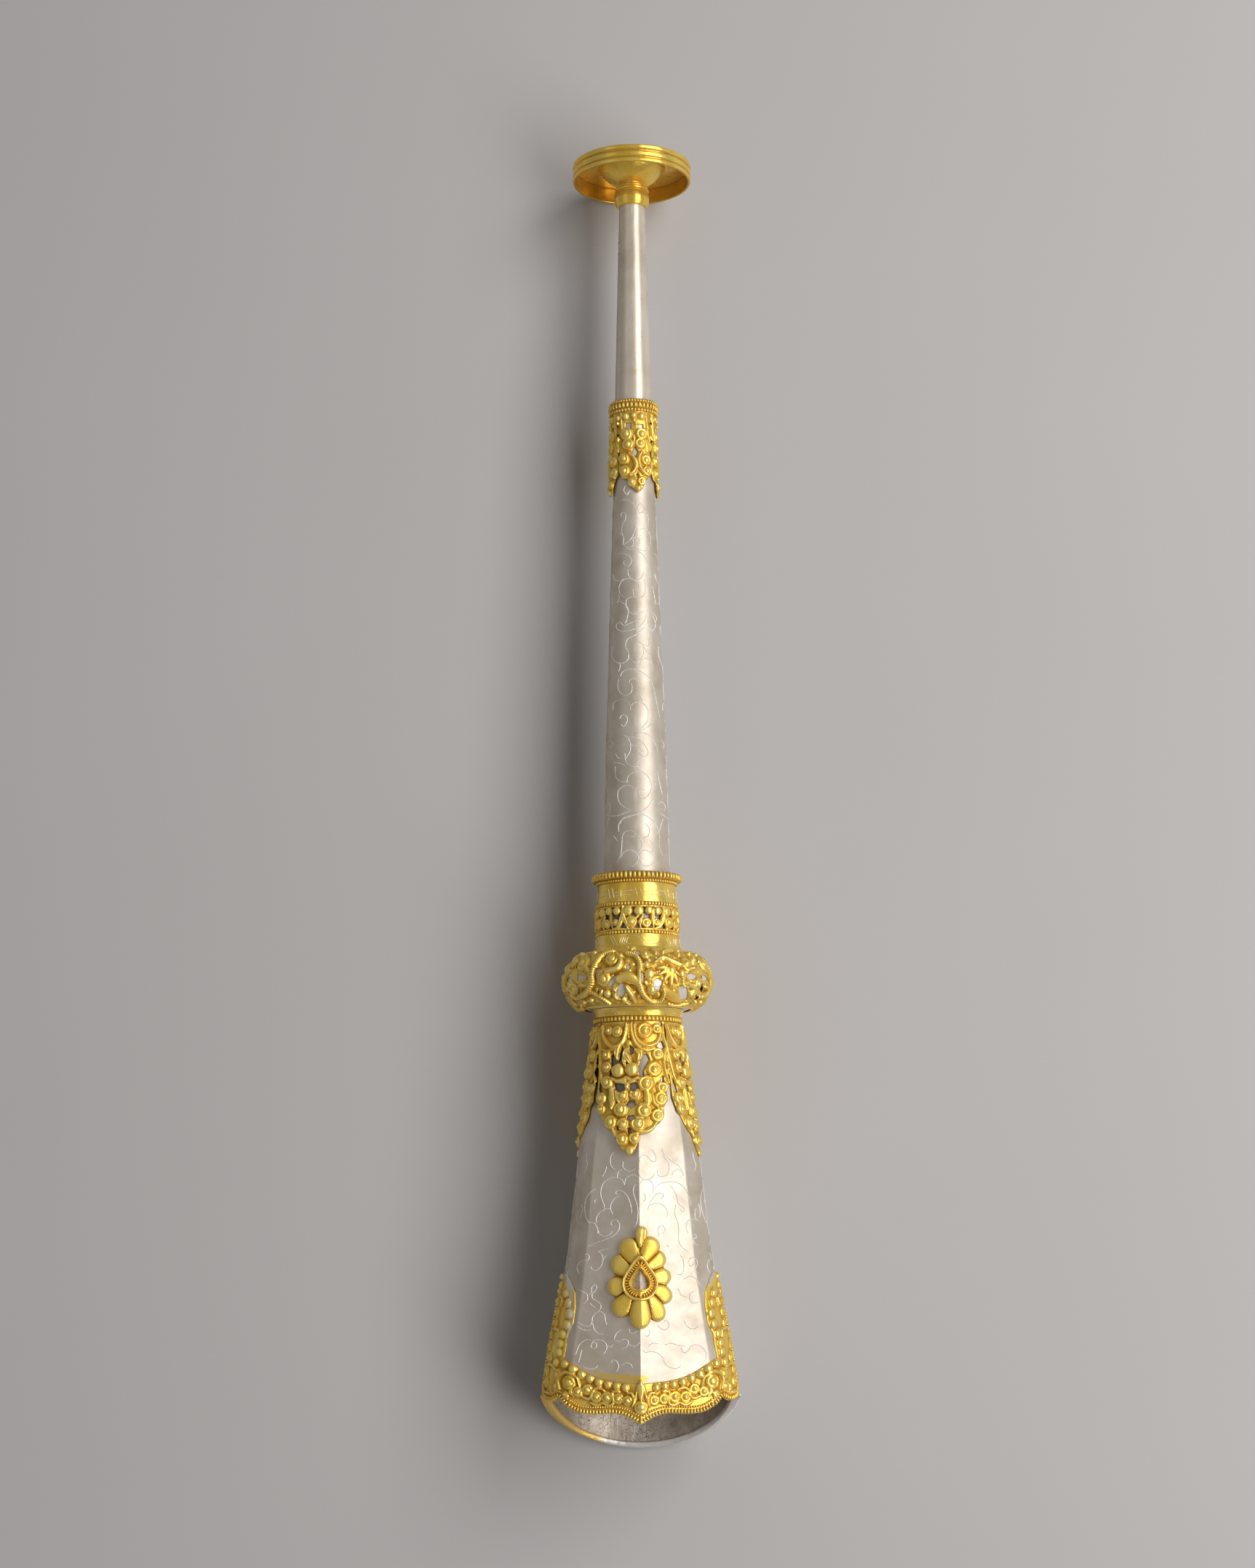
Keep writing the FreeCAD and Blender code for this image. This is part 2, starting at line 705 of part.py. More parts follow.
# Knob: a hollow silver bulge with a pierced gilt shell over it.
CORE_OUTER_CHORDS = 12
CORE_INNER_CHORDS = 6
QUARTER_TURN_DEGREES = 90
core_inner_bulge = size.knob_bulge_radius - size.knob_wall
core_bore_top = size.sleeve_radius + size.solder_gap
core_bore_bottom = size.throat_outer_radius + size.solder_gap
revolved_body(
    "knob_core",
    (
        (core_bore_top, knob_top),
        *round_corners(size.knob_hub_radius, size.knob_centre_station, size.knob_bulge_radius,
                       -QUARTER_TURN_DEGREES, QUARTER_TURN_DEGREES, CORE_OUTER_CHORDS),
        (core_bore_bottom, knob_bottom),
        (core_bore_bottom, knob_bottom - size.knob_wall),
        *round_corners(size.knob_hub_radius, size.knob_centre_station, core_inner_bulge,
                       QUARTER_TURN_DEGREES, -QUARTER_TURN_DEGREES, CORE_INNER_CHORDS),
        (core_bore_top, knob_top + size.knob_wall),
    ),
)
KNOB_REPEATS = 8
KNOB_SPAN_DEGREES = 72
KNOB_CHORDS = 8
# One repeat of the knob's openwork: corners of the holes, and places and scales of the bosses, as shares of
# the repeat round the knob and of its bulge along the axis
KNOB_HOLE_SHARES = (
    ((-0.36, -0.5), (-0.2, -0.62), (-0.1, -0.3), (-0.24, -0.1), (-0.38, -0.26)),
    ((0.02, -0.2), (0.16, -0.42), (0.24, -0.2), (0.1, 0.08)),
    ((-0.16, 0.22), (0.0, 0.1), (0.06, 0.4), (-0.1, 0.56), (-0.2, 0.42)),
    ((0.28, 0.16), (0.42, 0.02), (0.46, 0.34), (0.32, 0.5)),
)
KNOB_BOSS_SHARES = (
    (-0.28, 0.38, 1.0), (0.12, 0.5, 0.9), (-0.02, -0.5, 0.9), (0.36, -0.4, 1.1), (0.2, 0.3, 0.7),
    (-0.46, 0.02, 0.9),
)


def knob_openwork():
    """A bulged shell pierced with comma and leaf holes, with bosses at the scroll centres."""
    inner = size.knob_bulge_radius.number + size.solder_gap.number
    outer = inner + size.knob_openwork_wall.number
    hub = size.knob_hub_radius.number
    middle = size.knob_centre_station.number

    def rim_point(radius, degrees):
        angle = math.radians(degrees)
        return Vector(hub + radius * math.cos(angle), 0, middle + radius * math.sin(angle))

    steps = [KNOB_SPAN_DEGREES * (2 * step / KNOB_CHORDS - 1) for step in range(KNOB_CHORDS + 1)]
    outline = [rim_point(outer, degrees) for degrees in steps]
    outline += [rim_point(inner / math.cos(math.radians(KNOB_SPAN_DEGREES / KNOB_CHORDS)), degrees)
                for degrees in reversed(steps)]
    profile = polygon_wire(outline)
    shell = Part.Face(profile).revolve(Vector(0, 0, 0), Vector(0, 0, 1), 360)
    crest = hub + outer
    pitch = 2 * math.pi * crest / KNOB_REPEATS
    bulge = size.knob_bulge_radius.number
    cutters = []
    raised = []
    for repeat in range(KNOB_REPEATS):
        turn = FULL_TURN_DEGREES / KNOB_REPEATS * repeat
        for hole in KNOB_HOLE_SHARES:
            outline = [(across * pitch, middle + along * bulge) for across, along in hole]
            cutters.append(radial_prism(outline, crest + size.overrun.number, -turn))
        for lean_share, rise_share, scale_share in KNOB_BOSS_SHARES:
            lean = turn + lean_share * FULL_TURN_DEGREES / KNOB_REPEATS
            tilt = math.degrees(math.asin(rise_share * bulge / outer))
            profile_point = rim_point(outer, tilt)
            foot = on_circle(profile_point.x, lean, profile_point.z)
            slope = math.radians(tilt)
            outward = on_circle(math.cos(slope), lean, math.sin(slope))
            raised.append(
                boss(foot, outward, size.knob_boss_radius.number * scale_share,
                     size.knob_boss_height.number, size.knob_openwork_wall.number * SINK_SHARE)
            )
    return shell.cut(cutters).fuse(raised)


shaped_piece("knob_openwork", knob_openwork())
lower_ring_start = knob_bottom + size.lower_neck_height + size.solder_gap
lambrequin_start = lower_ring_start + size.lower_ring_height
revolved_body(
    "lower_neck",
    (
        (core_bore_bottom, knob_bottom + size.solder_gap),
        (size.lower_neck_radius, knob_bottom + size.solder_gap),
        (size.lower_neck_end_radius, lower_ring_start),
        (core_bore_bottom, lower_ring_start),
    ),
)
shaped_piece(
    "lower_bead_ring",
    bead_ring(core_bore_bottom, size.lower_ring_radius, lower_ring_start, size.lower_ring_height,
              size.fine_bead_depth, size.bead_pitch, WIRE_BEAD_POINTS),
)

# Bell: lofted through sections that turn from a circle at the throat to a broad oval at the mouth, with a
# ridge and two flat facets in front.
FACET_EDGE_SHARE = 0.74
BACK_FULLNESS_SHARE = 0.6
FLAT_HANDLE_SHARE = 1 / 3
HANDLE_SHARE = 4 / 3


def bell_section(station, half_width, front, back, flatness, grow):
    """One closed section: facet, front side and back quarter on the right, and the same on the left.

    flatness goes from 0, a round front, to 1, two flat facets that meet on the ridge.
    """
    wide = half_width + grow
    high = front + grow
    deep = back + grow
    edge_angle = math.acos(FACET_EDGE_SHARE)
    edge = Vector(wide * FACET_EDGE_SHARE, high * math.sin(edge_angle), station)
    ridge = Vector(0, high, station)
    side = Vector(wide, 0, station)
    foot = Vector(0, -deep, station)
    top_handle = HANDLE_SHARE * math.tan((math.pi / 2 - edge_angle) / 4)
    round_ridge = ridge + Vector(wide, 0, 0) * top_handle
    round_edge = edge + Vector(-wide * math.sin(edge_angle), high * FACET_EDGE_SHARE, 0) * top_handle
    flat_ridge = ridge + (edge - ridge) * FLAT_HANDLE_SHARE
    flat_edge = edge + (ridge - edge) * FLAT_HANDLE_SHARE
    ridge_handle = round_ridge * (1 - flatness) + flat_ridge * flatness
    edge_handle = round_edge * (1 - flatness) + flat_edge * flatness
    side_handle = HANDLE_SHARE * math.tan(edge_angle / 4)
    edge_down = edge + Vector(wide * math.sin(edge_angle), -high * FACET_EDGE_SHARE, 0) * side_handle
    side_up = side + Vector(0, high, 0) * side_handle
    round_share = HANDLE_SHARE * math.tan(math.pi / 8)
    fullness = round_share * (1 - flatness) + BACK_FULLNESS_SHARE * flatness
    side_down = side + Vector(0, -deep * fullness, 0)
    foot_out = foot + Vector(wide * fullness, 0, 0)
    right = (
        (ridge, ridge_handle, edge_handle, edge),
        (edge, edge_down, side_up, side),
        (side, side_down, foot_out, foot),
    )

    def mirrored(point):
        return Vector(-point.x, point.y, point.z)

    left = [tuple(mirrored(point) for point in reversed(poles)) for poles in reversed(right)]
    edges = []
    for poles in list(right) + left:
        curve = Part.BezierCurve()
        curve.setPoles(list(poles))
        edges.append(curve.toShape())
    return Part.Wire(edges)


# Station, half width, front, back and flatness of the bell's named sections
ROUND_FLATNESS, WAIST_FLATNESS, FACET_FLATNESS, FULL_FLATNESS = (0.0, 0.25, 0.9, 1.0)
BELL_STATIONS = (
    (size.throat_end, size.throat_outer_radius, size.throat_outer_radius, size.throat_outer_radius,
     ROUND_FLATNESS),
    (size.waist_station, size.waist_radius, size.waist_radius, size.waist_radius, WAIST_FLATNESS),
    (size.facet_station, size.facet_half_width, size.facet_front, size.facet_back, FACET_FLATNESS),
    (size.shoulder_station, size.shoulder_half_width, size.shoulder_front, size.shoulder_back,
     FULL_FLATNESS),
    (size.mouth_station, size.mouth_half_width, size.mouth_front, size.mouth_back, FULL_FLATNESS),
    (size.lip_station + size.overrun, size.lip_half_width, size.lip_front, size.lip_back,
     FULL_FLATNESS),
)


BELL_STRIPS = 12


def bell_values(station):
    """Half width, front, back and flatness at a station, on smooth curves through the named sections."""
    rows = [[cell.number for cell in row[:4]] + [row[4]] for row in BELL_STATIONS]
    last = len(rows) - 1
    span = max(index for index in range(last) if index == 0 or rows[index][0] <= station)
    length = rows[span + 1][0] - rows[span][0]
    part = (station - rows[span][0]) / length
    values = []
    for column in range(1, 5):
        slopes = []
        for index in (span, span + 1):
            before, after = max(index - 1, 0), min(index + 1, last)
            slopes.append((rows[after][column] - rows[before][column]) / (rows[after][0] - rows[before][0]))
        values.append(
            (2 * part**3 - 3 * part**2 + 1) * rows[span][column]
            + (part**3 - 2 * part**2 + part) * length * slopes[0]
            + (3 * part**2 - 2 * part**3) * rows[span + 1][column]
            + (part**3 - part**2) * length * slopes[1]
        )
    return values


bell_top = knob_bottom.number - size.overrun.number * 2


def bell_solid(grow):
    """The solid inside the bell's outer face with its round throat, grown or shrunk by the same all round."""
    start, end = BELL_STATIONS[0][0].number, BELL_STATIONS[-1][0].number
    stations = [start + (end - start) * strip / BELL_STRIPS for strip in range(BELL_STRIPS + 1)]
    wires = [bell_section(bell_top, *bell_values(start), grow)]
    wires += [bell_section(station, *bell_values(station), grow) for station in stations]
    return Part.makeLoft(wires, True, True)


def plan_curve(points):
    """A smooth edge through points of the plan, given as (sideways, station)."""
    curve = Part.BSplineCurve()
    curve.interpolate([Vector(across, 0, station) for across, station in points])
    return curve.toShape()


def plan_prism(edges, low, high):
    """A prism over a closed plan outline, from one height to another along the ridge direction."""
    wire = Part.Wire(edges)
    face = Part.Face(wire)
    face.translate(Vector(0, low, 0))
    return face.extrude(Vector(0, high - low, 0))


# Front lip from the side corner to the cusp: shares of the mouth's half width and of the cusp's rise.
LIP_CORNER_SHARES = ((1.0, 0.0), (0.94, 0.17), (0.87, 0.24), (0.8, 0.08))
LIP_LOBE_SHARES = (
    (0.8, 0.08), (0.74, 0.36), (0.62, 0.6), (0.46, 0.66), (0.28, 0.63), (0.15, 0.72), (0.0, 1.0),
)


def front_lip_edges(overhang):
    """The front lip's plan outline from the right corner through the cusp to the left corner."""
    half = size.mouth_half_width.number + size.lip_overrun.number
    rise = size.front_cusp_rise.number
    base = size.corner_station.number + overhang

    def placed(shares, side):
        return [(side * half * across, base + rise * along) for across, along in shares]

    edges = [plan_curve(placed(LIP_CORNER_SHARES, 1)), plan_curve(placed(LIP_LOBE_SHARES, 1))]
    edges.append(plan_curve(list(reversed(placed(LIP_LOBE_SHARES, -1)))))
    edges.append(plan_curve(list(reversed(placed(LIP_CORNER_SHARES, -1)))))
    return edges, half, base


def line_plan(start, end):
    return Part.makeLine(Vector(start[0], 0, start[1]), Vector(end[0], 0, end[1]))


def front_keeper(overhang, top_station, low, high):
    """The plan region above the front lip, as a prism."""
    edges, half, base = front_lip_edges(overhang)
    wide = half + size.overrun.number
    edges = [line_plan((wide, base), (half, base))] + edges
    edges.append(line_plan((-half, base), (-wide, base)))
    edges.append(line_plan((-wide, base), (-wide, top_station)))
    edges.append(line_plan((-wide, top_station), (wide, top_station)))
    edges.append(line_plan((wide, top_station), (wide, base)))
    return plan_prism(edges, low, high)


def back_keeper(inset, spread, top_station, low, high):
    """The plan region above the back lip, a half ellipse on the mouth's corners, as a prism.

    spread widens it for a band that lies outside the wall.
    """
    half = size.lip_plan_half_width.number + spread - inset
    base = size.corner_station.number
    rise = size.lip_station.number - base - inset
    centre = Vector(0, 0, base)
    ellipse = Part.Ellipse(centre + Vector(half, 0, 0), centre + Vector(0, 0, rise), centre)
    edges = [
        Part.ArcOfEllipse(ellipse, 0, math.pi).toShape(),
        line_plan((-half, base), (-half, top_station)),
        line_plan((-half, top_station), (half, top_station)),
        line_plan((half, top_station), (half, base)),
    ]
    wire = Part.Wire(edges)
    face = Part.Face(wire)
    face.translate(Vector(0, low, 0))
    return face.extrude(Vector(0, high - low, 0))


reach_up = size.lip_front.number + size.overrun.number
reach_down = size.lip_back.number + size.overrun.number
outer_form = bell_solid(0)
shell = outer_form.cut(bell_solid(-size.bell_wall.number))
horn = shell.common(front_keeper(0, bell_top, 0, reach_up))
horn = horn.fuse(shell.common(back_keeper(0, 0, bell_top, -reach_down, 0)))
shaped_piece("bell", horn.removeSplitter())


LAMBREQUIN_DIAMOND_SHARES = (
    (-0.15, 0.2, 0.45, 1.2), (0.15, 0.2, 0.45, 1.2), (-0.36, 0.27, 0.7, 1.2), (0.38, 0.27, 0.7, 1.2),
    (-0.3, 0.43, 0.6, 1.0), (0.32, 0.43, 0.6, 1.0), (0.0, 0.66, 0.6, 0.8), (0.0, 0.83, 0.5, 0.7),
)
LAMBREQUIN_BOSS_SHARES = (
    (-0.5, 0.08, 0.9), (-0.24, 0.08, 1.05), (0.24, 0.08, 1.05), (0.5, 0.08, 0.9), (-0.56, 0.24, 0.9),
    (0.56, 0.24, 0.9), (-0.15, 0.36, 1.4), (0.15, 0.36, 1.4), (-0.54, 0.36, 1.0), (0.54, 0.36, 1.0),
    (-0.5, 0.47, 1.05), (0.48, 0.47, 1.05), (-0.72, 0.53, 1.0), (0.72, 0.53, 1.0), (-0.18, 0.56, 1.0),
    (0.2, 0.56, 1.0), (-0.64, 0.64, 1.0), (0.62, 0.64, 1.0), (-0.28, 0.69, 1.1), (0.26, 0.69, 1.1),
    (-0.42, 0.77, 1.1), (0.42, 0.77, 1.1), (-0.18, 0.81, 0.95), (0.18, 0.81, 0.95), (-0.17, 0.92, 0.95),
    (0.17, 0.92, 0.95), (0.0, 0.965, 0.75),
)


def lambrequin_collar():
    """A pierced cone that hangs over the top of the bell in four points."""
    start = lambrequin_start.number + size.solder_gap.number
    tip = size.lambrequin_tip_station.number
    end = tip + size.edge_overrun.number
    inner = size.lambrequin_start_radius.number
    inner_end = size.lambrequin_tip_radius.number
    wall = size.lambrequin_wall.number
    sleeve = cone_sleeve(inner, inner_end, wall, start, end)
    sleeve = sleeve.cut(lappet_notches(inner_end + wall, size.lambrequin_notch_station.number, tip,
                                       size.overrun.number))

    def radius_at(station):
        return inner + (inner_end - inner) * (station - start) / (end - start)

    span = tip - start
    width = inner + wall
    unit = size.lambrequin_boss_radius.number
    holes = placed_holes(diamond, LAMBREQUIN_DIAMOND_SHARES, width, start, span, unit)
    bosses = placed_bosses(LAMBREQUIN_BOSS_SHARES, width, start, span)
    return pierced_sleeve(sleeve, radius_at, wall, holes, bosses, unit,
                          size.lambrequin_boss_height.number, inner_end + size.overrun.number,
                          LAMBREQUIN_TURNED_DEGREES)


shaped_piece("lambrequin_collar", lambrequin_collar())

# Border of the mouth: a sheet on the front half of the bell, open in the middle, with two wings up the sides.
# Half outline of the window that the border leaves: shares of the mouth's half width, and of the way from
# the wings' tips down to the band.
WINDOW_SHARES = (
    (0.79, -0.1), (0.77, 0.06), (0.73, 0.2), (0.69, 0.36), (0.69, 0.6), (0.75, 0.7), (0.79, 0.78),
    (0.76, 0.86), (0.62, 0.93), (0.4, 0.98), (0.2, 0.97), (0.0, 1.0),
)
WING_CORNERS = 7
# Bosses: inset from the window's corners on the wings and on the band, in boss radii, then the row along the
# lip as shares of the mouth's half width and of the cusp's rise from the corner
WING_INSET_SHARES = (-0.3, 0.0)
BAND_INSET_SHARES = (0.5, 0.4)
BORDER_BOSS_SHARES = (
    (0.86, -0.5), (0.72, -0.35), (0.6, -0.1), (0.47, 0.0), (0.34, -0.02), (0.2, 0.02), (0.93, -1.5),
    (0.9, -2.3), (0.87, -3.0),
)
PROBE_SHARE = 0.5
border_inner = size.solder_gap.number
border_outer = border_inner + size.border_thickness.number
side_floor = -size.border_side_drop.number
side_reach = size.lip_half_width.number + size.overrun.number


def skin(low, high):
    """A sheet on the bell between two distances from its outer face."""
    return bell_solid(high).cut(bell_solid(low))


def surface_point(form, across, station):
    """The point of a form straight below a point of the plan."""
    probe = Part.makeLine(Vector(across, reach_up * 2, station), Vector(across, 0, station))
    hit = form.common(probe)
    return max((vertex.Point for vertex in hit.Vertexes), key=lambda point: point.y)


def surface_outward(form, across, station, step):
    """The direction out of a form's front at a point of the plan."""
    middle = surface_point(form, across, station)
    beside = surface_point(form, across - math.copysign(step, across), station) - middle
    along = surface_point(form, across, station - step) - middle
    outward = beside.cross(along).normalize()
    return outward if outward.y > 0 else outward * -1


def mouth_border():
    half = size.mouth_half_width.number
    tip = size.wing_tip_station.number
    depth = size.border_band_station.number - tip
    right = [(half * across, tip + depth * along) for across, along in WINDOW_SHARES]
    outline = right + [(-across, station) for across, station in reversed(right[:-1])]
    window = Part.Face(polygon_wire([Vector(across, 0, station) for across, station in outline]))
    window = window.extrude(Vector(0, reach_up, 0))
    keeper = front_keeper(size.border_overhang.number, tip, side_floor, reach_up)
    sheet_form = skin(border_inner, border_outer).common(keeper).cut(window)
    outer = bell_solid(border_outer)
    radius = size.border_boss_radius.number
    height = size.border_boss_height.number
    places = []
    for index, (across, station) in enumerate(right[1:-1], start=1):
        aside, down = WING_INSET_SHARES if index < WING_CORNERS else BAND_INSET_SHARES
        places.append((across + radius * aside, station + radius * down))
    places += [(share * half, size.corner_station.number + size.front_cusp_rise.number * rise)
               for share, rise in BORDER_BOSS_SHARES]
    raised = []
    for across, station in places:
        for side in (1, -1):
            foot = surface_point(outer, across * side, station)
            outward = surface_outward(outer, across * side, station, radius * PROBE_SHARE)
            raised.append(boss(foot, outward, radius, height, size.border_thickness.number * SINK_SHARE))
    return sheet_form.fuse(raised)


shaped_piece("mouth_border", mouth_border())


def border_wire(inset, width, low, high, top_station):
    """A wire along the border's front lip and up both its side edges."""
    sheet_form = skin(low, high)
    lip = size.border_overhang.number - inset
    front = front_keeper(lip, size.wing_tip_station.number, side_floor, reach_up).cut(
        front_keeper(lip - width, bell_top, side_floor - size.overrun.number, reach_up * 2)
    )
    base = size.corner_station.number + lip
    floor = side_floor + inset
    sides = Part.makeBox(2 * side_reach, width, base - top_station, Vector(-side_reach, floor, top_station))
    return sheet_form.common(front).fuse(sheet_form.common(sides)).removeSplitter()


wire_low = border_outer + size.solder_gap.number
shaped_piece(
    "mouth_border_outer_beads",
    border_wire(0, size.border_bead_width.number, wire_low, wire_low + size.border_bead_height.number,
                size.border_bead_station.number),
)
shaped_piece(
    "mouth_border_inner_beads",
    border_wire(size.border_bead_width.number + size.solder_gap.number, size.border_fine_bead_width.number,
                wire_low, wire_low + size.border_fine_bead_height.number,
                size.border_bead_station.number + size.border_bead_width.number),
)


def lip_band(inset, width, low, high):
    """A band along the back lip, from one corner of the mouth round to the other."""
    ceiling = side_floor - size.solder_gap.number
    corner = size.corner_station.number
    strip = back_keeper(inset, high, bell_top, -reach_down * 2, ceiling)
    strip = strip.cut(back_keeper(inset + width, high, bell_top, -reach_down * 3, reach_up))
    below_corner = Part.makeBox(2 * side_reach, reach_down * 2 + ceiling, side_reach,
                                Vector(-side_reach, -reach_down * 2, corner))
    return skin(low, high).common(strip.common(below_corner))


rim_outer = border_inner + size.rim_band_thickness.number
wire_inner = rim_outer + size.solder_gap.number
shaped_piece(
    "mouth_rim",
    lip_band(-size.solder_gap.number, size.rim_band_width.number, border_inner, rim_outer),
)
shaped_piece(
    "mouth_rim_bead_wire",
    lip_band(-size.solder_gap.number, size.rim_wire_width.number, wire_inner,
             wire_inner + size.rim_wire_thickness.number),
)

# Medallion: a rosette of petals bent over the ridge, with an empty drop-shaped setting in the middle.
PETAL_DEGREES = (0, 30, 60, 90, 118, 148, 180, -36, -70, -105, -142)
PETAL_LENGTH_SHARE = 0.3
PETAL_WIDTH_SHARE = 0.26
CORE_WIDTH_SHARE = 0.68
CORE_LENGTH_SHARE = 0.7
DOME_SHARE = 0.85
PETAL_PROBE_SHARE = 0.3


def teardrop(half_width, half_length, low, high):
    """A drop-shaped prism: a round foot towards the mouth and a point towards the knob."""
    centre = size.medallion_station.number + half_length - half_width
    apex = size.medallion_station.number - half_length
    reach = math.acos(half_width / (centre - apex))
    across = half_width * math.sin(reach)
    touch = centre - half_width * math.cos(reach)
    bottom = Vector(0, 0, centre + half_width)
    round_foot = Part.Arc(Vector(across, 0, touch), bottom, Vector(-across, 0, touch))
    edges = [
        round_foot.toShape(),
        line_plan((-across, touch), (0, apex)),
        line_plan((0, apex), (across, touch)),
    ]
    return plan_prism(edges, low, high)


def medallion_petals():
    wide = size.medallion_half_width.number
    tall = size.medallion_half_length.number
    middle = size.medallion_station.number
    plate_outer = border_inner + size.medallion_thickness.number
    outer = bell_solid(plate_outer)
    core_tip = Vector(0, 0, middle + tall * CORE_LENGTH_SHARE)
    core_side = Vector(wide * CORE_WIDTH_SHARE, 0, middle)
    core = Part.Face(Part.Wire(Part.Ellipse(core_tip, core_side, Vector(0, 0, middle)).toShape()))
    outline = [core.extrude(Vector(0, reach_up, 0))]
    domes = []
    for degrees in PETAL_DEGREES:
        angle = math.radians(degrees)
        tip = Vector(wide * math.sin(angle), 0, middle - tall * math.cos(angle))
        radial = (tip - Vector(0, 0, middle)).normalize()
        beside = Vector(radial.z, 0, -radial.x)
        length = tall * PETAL_LENGTH_SHARE
        width = wide * PETAL_WIDTH_SHARE
        centre = tip - radial * length
        petal = Part.Ellipse(centre + radial * length, centre + beside * width, centre)
        outline.append(Part.Face(Part.Wire(petal.toShape())).extrude(Vector(0, reach_up, 0)))
        foot = surface_point(outer, centre.x, centre.z)
        probe = width * PETAL_PROBE_SHARE
        beside_ridge = centre.x if abs(centre.x) > probe else probe
        outward = surface_outward(outer, beside_ridge, centre.z, probe)
        domes.append(petal_dome(foot, outward, radial, length * DOME_SHARE, width * DOME_SHARE))
    plan = outline[0].fuse(outline[1:]).removeSplitter()
    plate = skin(border_inner, plate_outer).common(plan)
    hole = teardrop(size.bezel_half_width.number - size.bezel_wall.number,
                    size.bezel_half_length.number - size.bezel_wall.number, 0, reach_up)
    return plate.fuse(domes).cut(hole)


PETAL_SIDES = 8
# Levels of a petal's dome: share of the plate sunk or of the petal's height, and of the petal's outline
PETAL_FOOT_SHARE = 0.6
PETAL_LEVEL_SHARES = ((0.6, 0.8), (1.0, 0.35))


def petal_dome(foot, outward, radial, length, width):
    """A low faceted dome, longer towards the petal's tip than across it."""
    height = size.petal_height.number
    along = (radial - outward * radial.dot(outward)).normalize()
    across = outward.cross(along)
    wires = []
    levels = [(-size.medallion_thickness.number * PETAL_FOOT_SHARE, 1)]
    levels += [(height * share, reach) for share, reach in PETAL_LEVEL_SHARES]
    for level, reach in levels:
        corners = []
        for corner in range(PETAL_SIDES):
            angle = 2 * math.pi * corner / PETAL_SIDES
            corners.append(
                foot + outward * level + along * (length * reach * math.cos(angle))
                + across * (width * reach * math.sin(angle))
            )
        wires.append(polygon_wire(corners))
    return Part.makeLoft(wires, True, True)


shaped_piece("medallion_petals", medallion_petals())


def setting_ring(half_width, half_length, wall, top):
    """A drop-shaped ring that stands on the bell's face."""
    ring = teardrop(half_width, half_length, 0, top).cut(
        teardrop(half_width - wall, half_length - wall, -size.overrun.number, reach_up * 2)
    )
    return ring.cut(bell_solid(border_inner + size.medallion_thickness.number + size.solder_gap.number))


setting_top = size.shoulder_front.number + size.medallion_thickness.number
wire_half_width = size.bezel_half_width.number + size.solder_gap.number + size.bezel_wire_width.number
wire_half_length = size.bezel_half_length.number + size.solder_gap.number + size.bezel_wire_width.number
shaped_piece(
    "medallion_bezel",
    setting_ring(size.bezel_half_width.number, size.bezel_half_length.number, size.bezel_wall.number,
                 setting_top + size.bezel_height.number),
)
shaped_piece(
    "medallion_bead_row",
    setting_ring(wire_half_width, wire_half_length, size.bezel_wire_width.number,
                 setting_top + size.bezel_wire_height.number),
)

# The horn lies on the mouthpiece's rim and the back lip of its bell. Its axis climbs to the bell, and the
# frame's origin is under the middle of the box that holds it.
doc.recompute()
back_depth = size.lip_back.number + wire_inner + size.rim_wire_thickness.number
climb = math.degrees(
    math.atan((back_depth - size.rim_radius.number) / (size.lip_station.number - size.rim_height.number))
)
lying = Rotation(Vector(1, 0, 0), 90 - climb)
low = Vector(math.inf, math.inf, math.inf)
high = Vector(-math.inf, -math.inf, -math.inf)
for piece in pieces:
    turned = piece.Shape.copy()
    turned.Placement = Placement(Vector(0, 0, 0), lying)
    box = turned.optimalBoundingBox()
    low = Vector(min(low.x, box.XMin), min(low.y, box.YMin), min(low.z, box.ZMin))
    high = Vector(max(high.x, box.XMax), max(high.y, box.YMax), max(high.z, box.ZMax))
seat = Vector(-(low.x + high.x) / 2, -(low.y + high.y) / 2, -low.z)
for piece in pieces:
    piece.Placement = Placement(seat, lying)
doc.recompute()
print("climb", round(climb, 3), "seat", seat, "size", high - low)

os.makedirs("parts", exist_ok=True)
for piece in pieces:
    broken = "Invalid" in piece.State or "Error" in piece.State
    if broken or piece.Shape.isNull() or not piece.Shape.isValid():
        raise RuntimeError(f"{piece.Label} failed: {piece.State}")
    print(piece.Label, len(piece.Shape.Solids), round(piece.Shape.Volume, 2))
for piece in pieces:
    piece.Shape.exportStep(f"parts/{piece.Label}.step")
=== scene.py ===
import math

import bmesh
import bpy
import numpy as np
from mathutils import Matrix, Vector


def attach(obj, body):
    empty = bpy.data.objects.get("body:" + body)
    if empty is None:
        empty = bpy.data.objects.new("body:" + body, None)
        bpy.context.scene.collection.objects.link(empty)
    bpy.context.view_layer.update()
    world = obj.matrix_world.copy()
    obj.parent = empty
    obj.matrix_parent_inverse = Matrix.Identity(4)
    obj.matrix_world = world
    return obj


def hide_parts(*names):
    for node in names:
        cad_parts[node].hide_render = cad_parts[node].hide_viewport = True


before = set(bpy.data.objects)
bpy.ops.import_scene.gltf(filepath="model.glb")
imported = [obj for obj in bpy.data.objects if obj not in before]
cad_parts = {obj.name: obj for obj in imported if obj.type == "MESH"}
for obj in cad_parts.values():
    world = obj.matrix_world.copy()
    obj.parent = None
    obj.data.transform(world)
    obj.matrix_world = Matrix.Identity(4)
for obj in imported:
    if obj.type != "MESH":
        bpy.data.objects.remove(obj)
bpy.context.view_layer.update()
rng = np.random.default_rng(7)

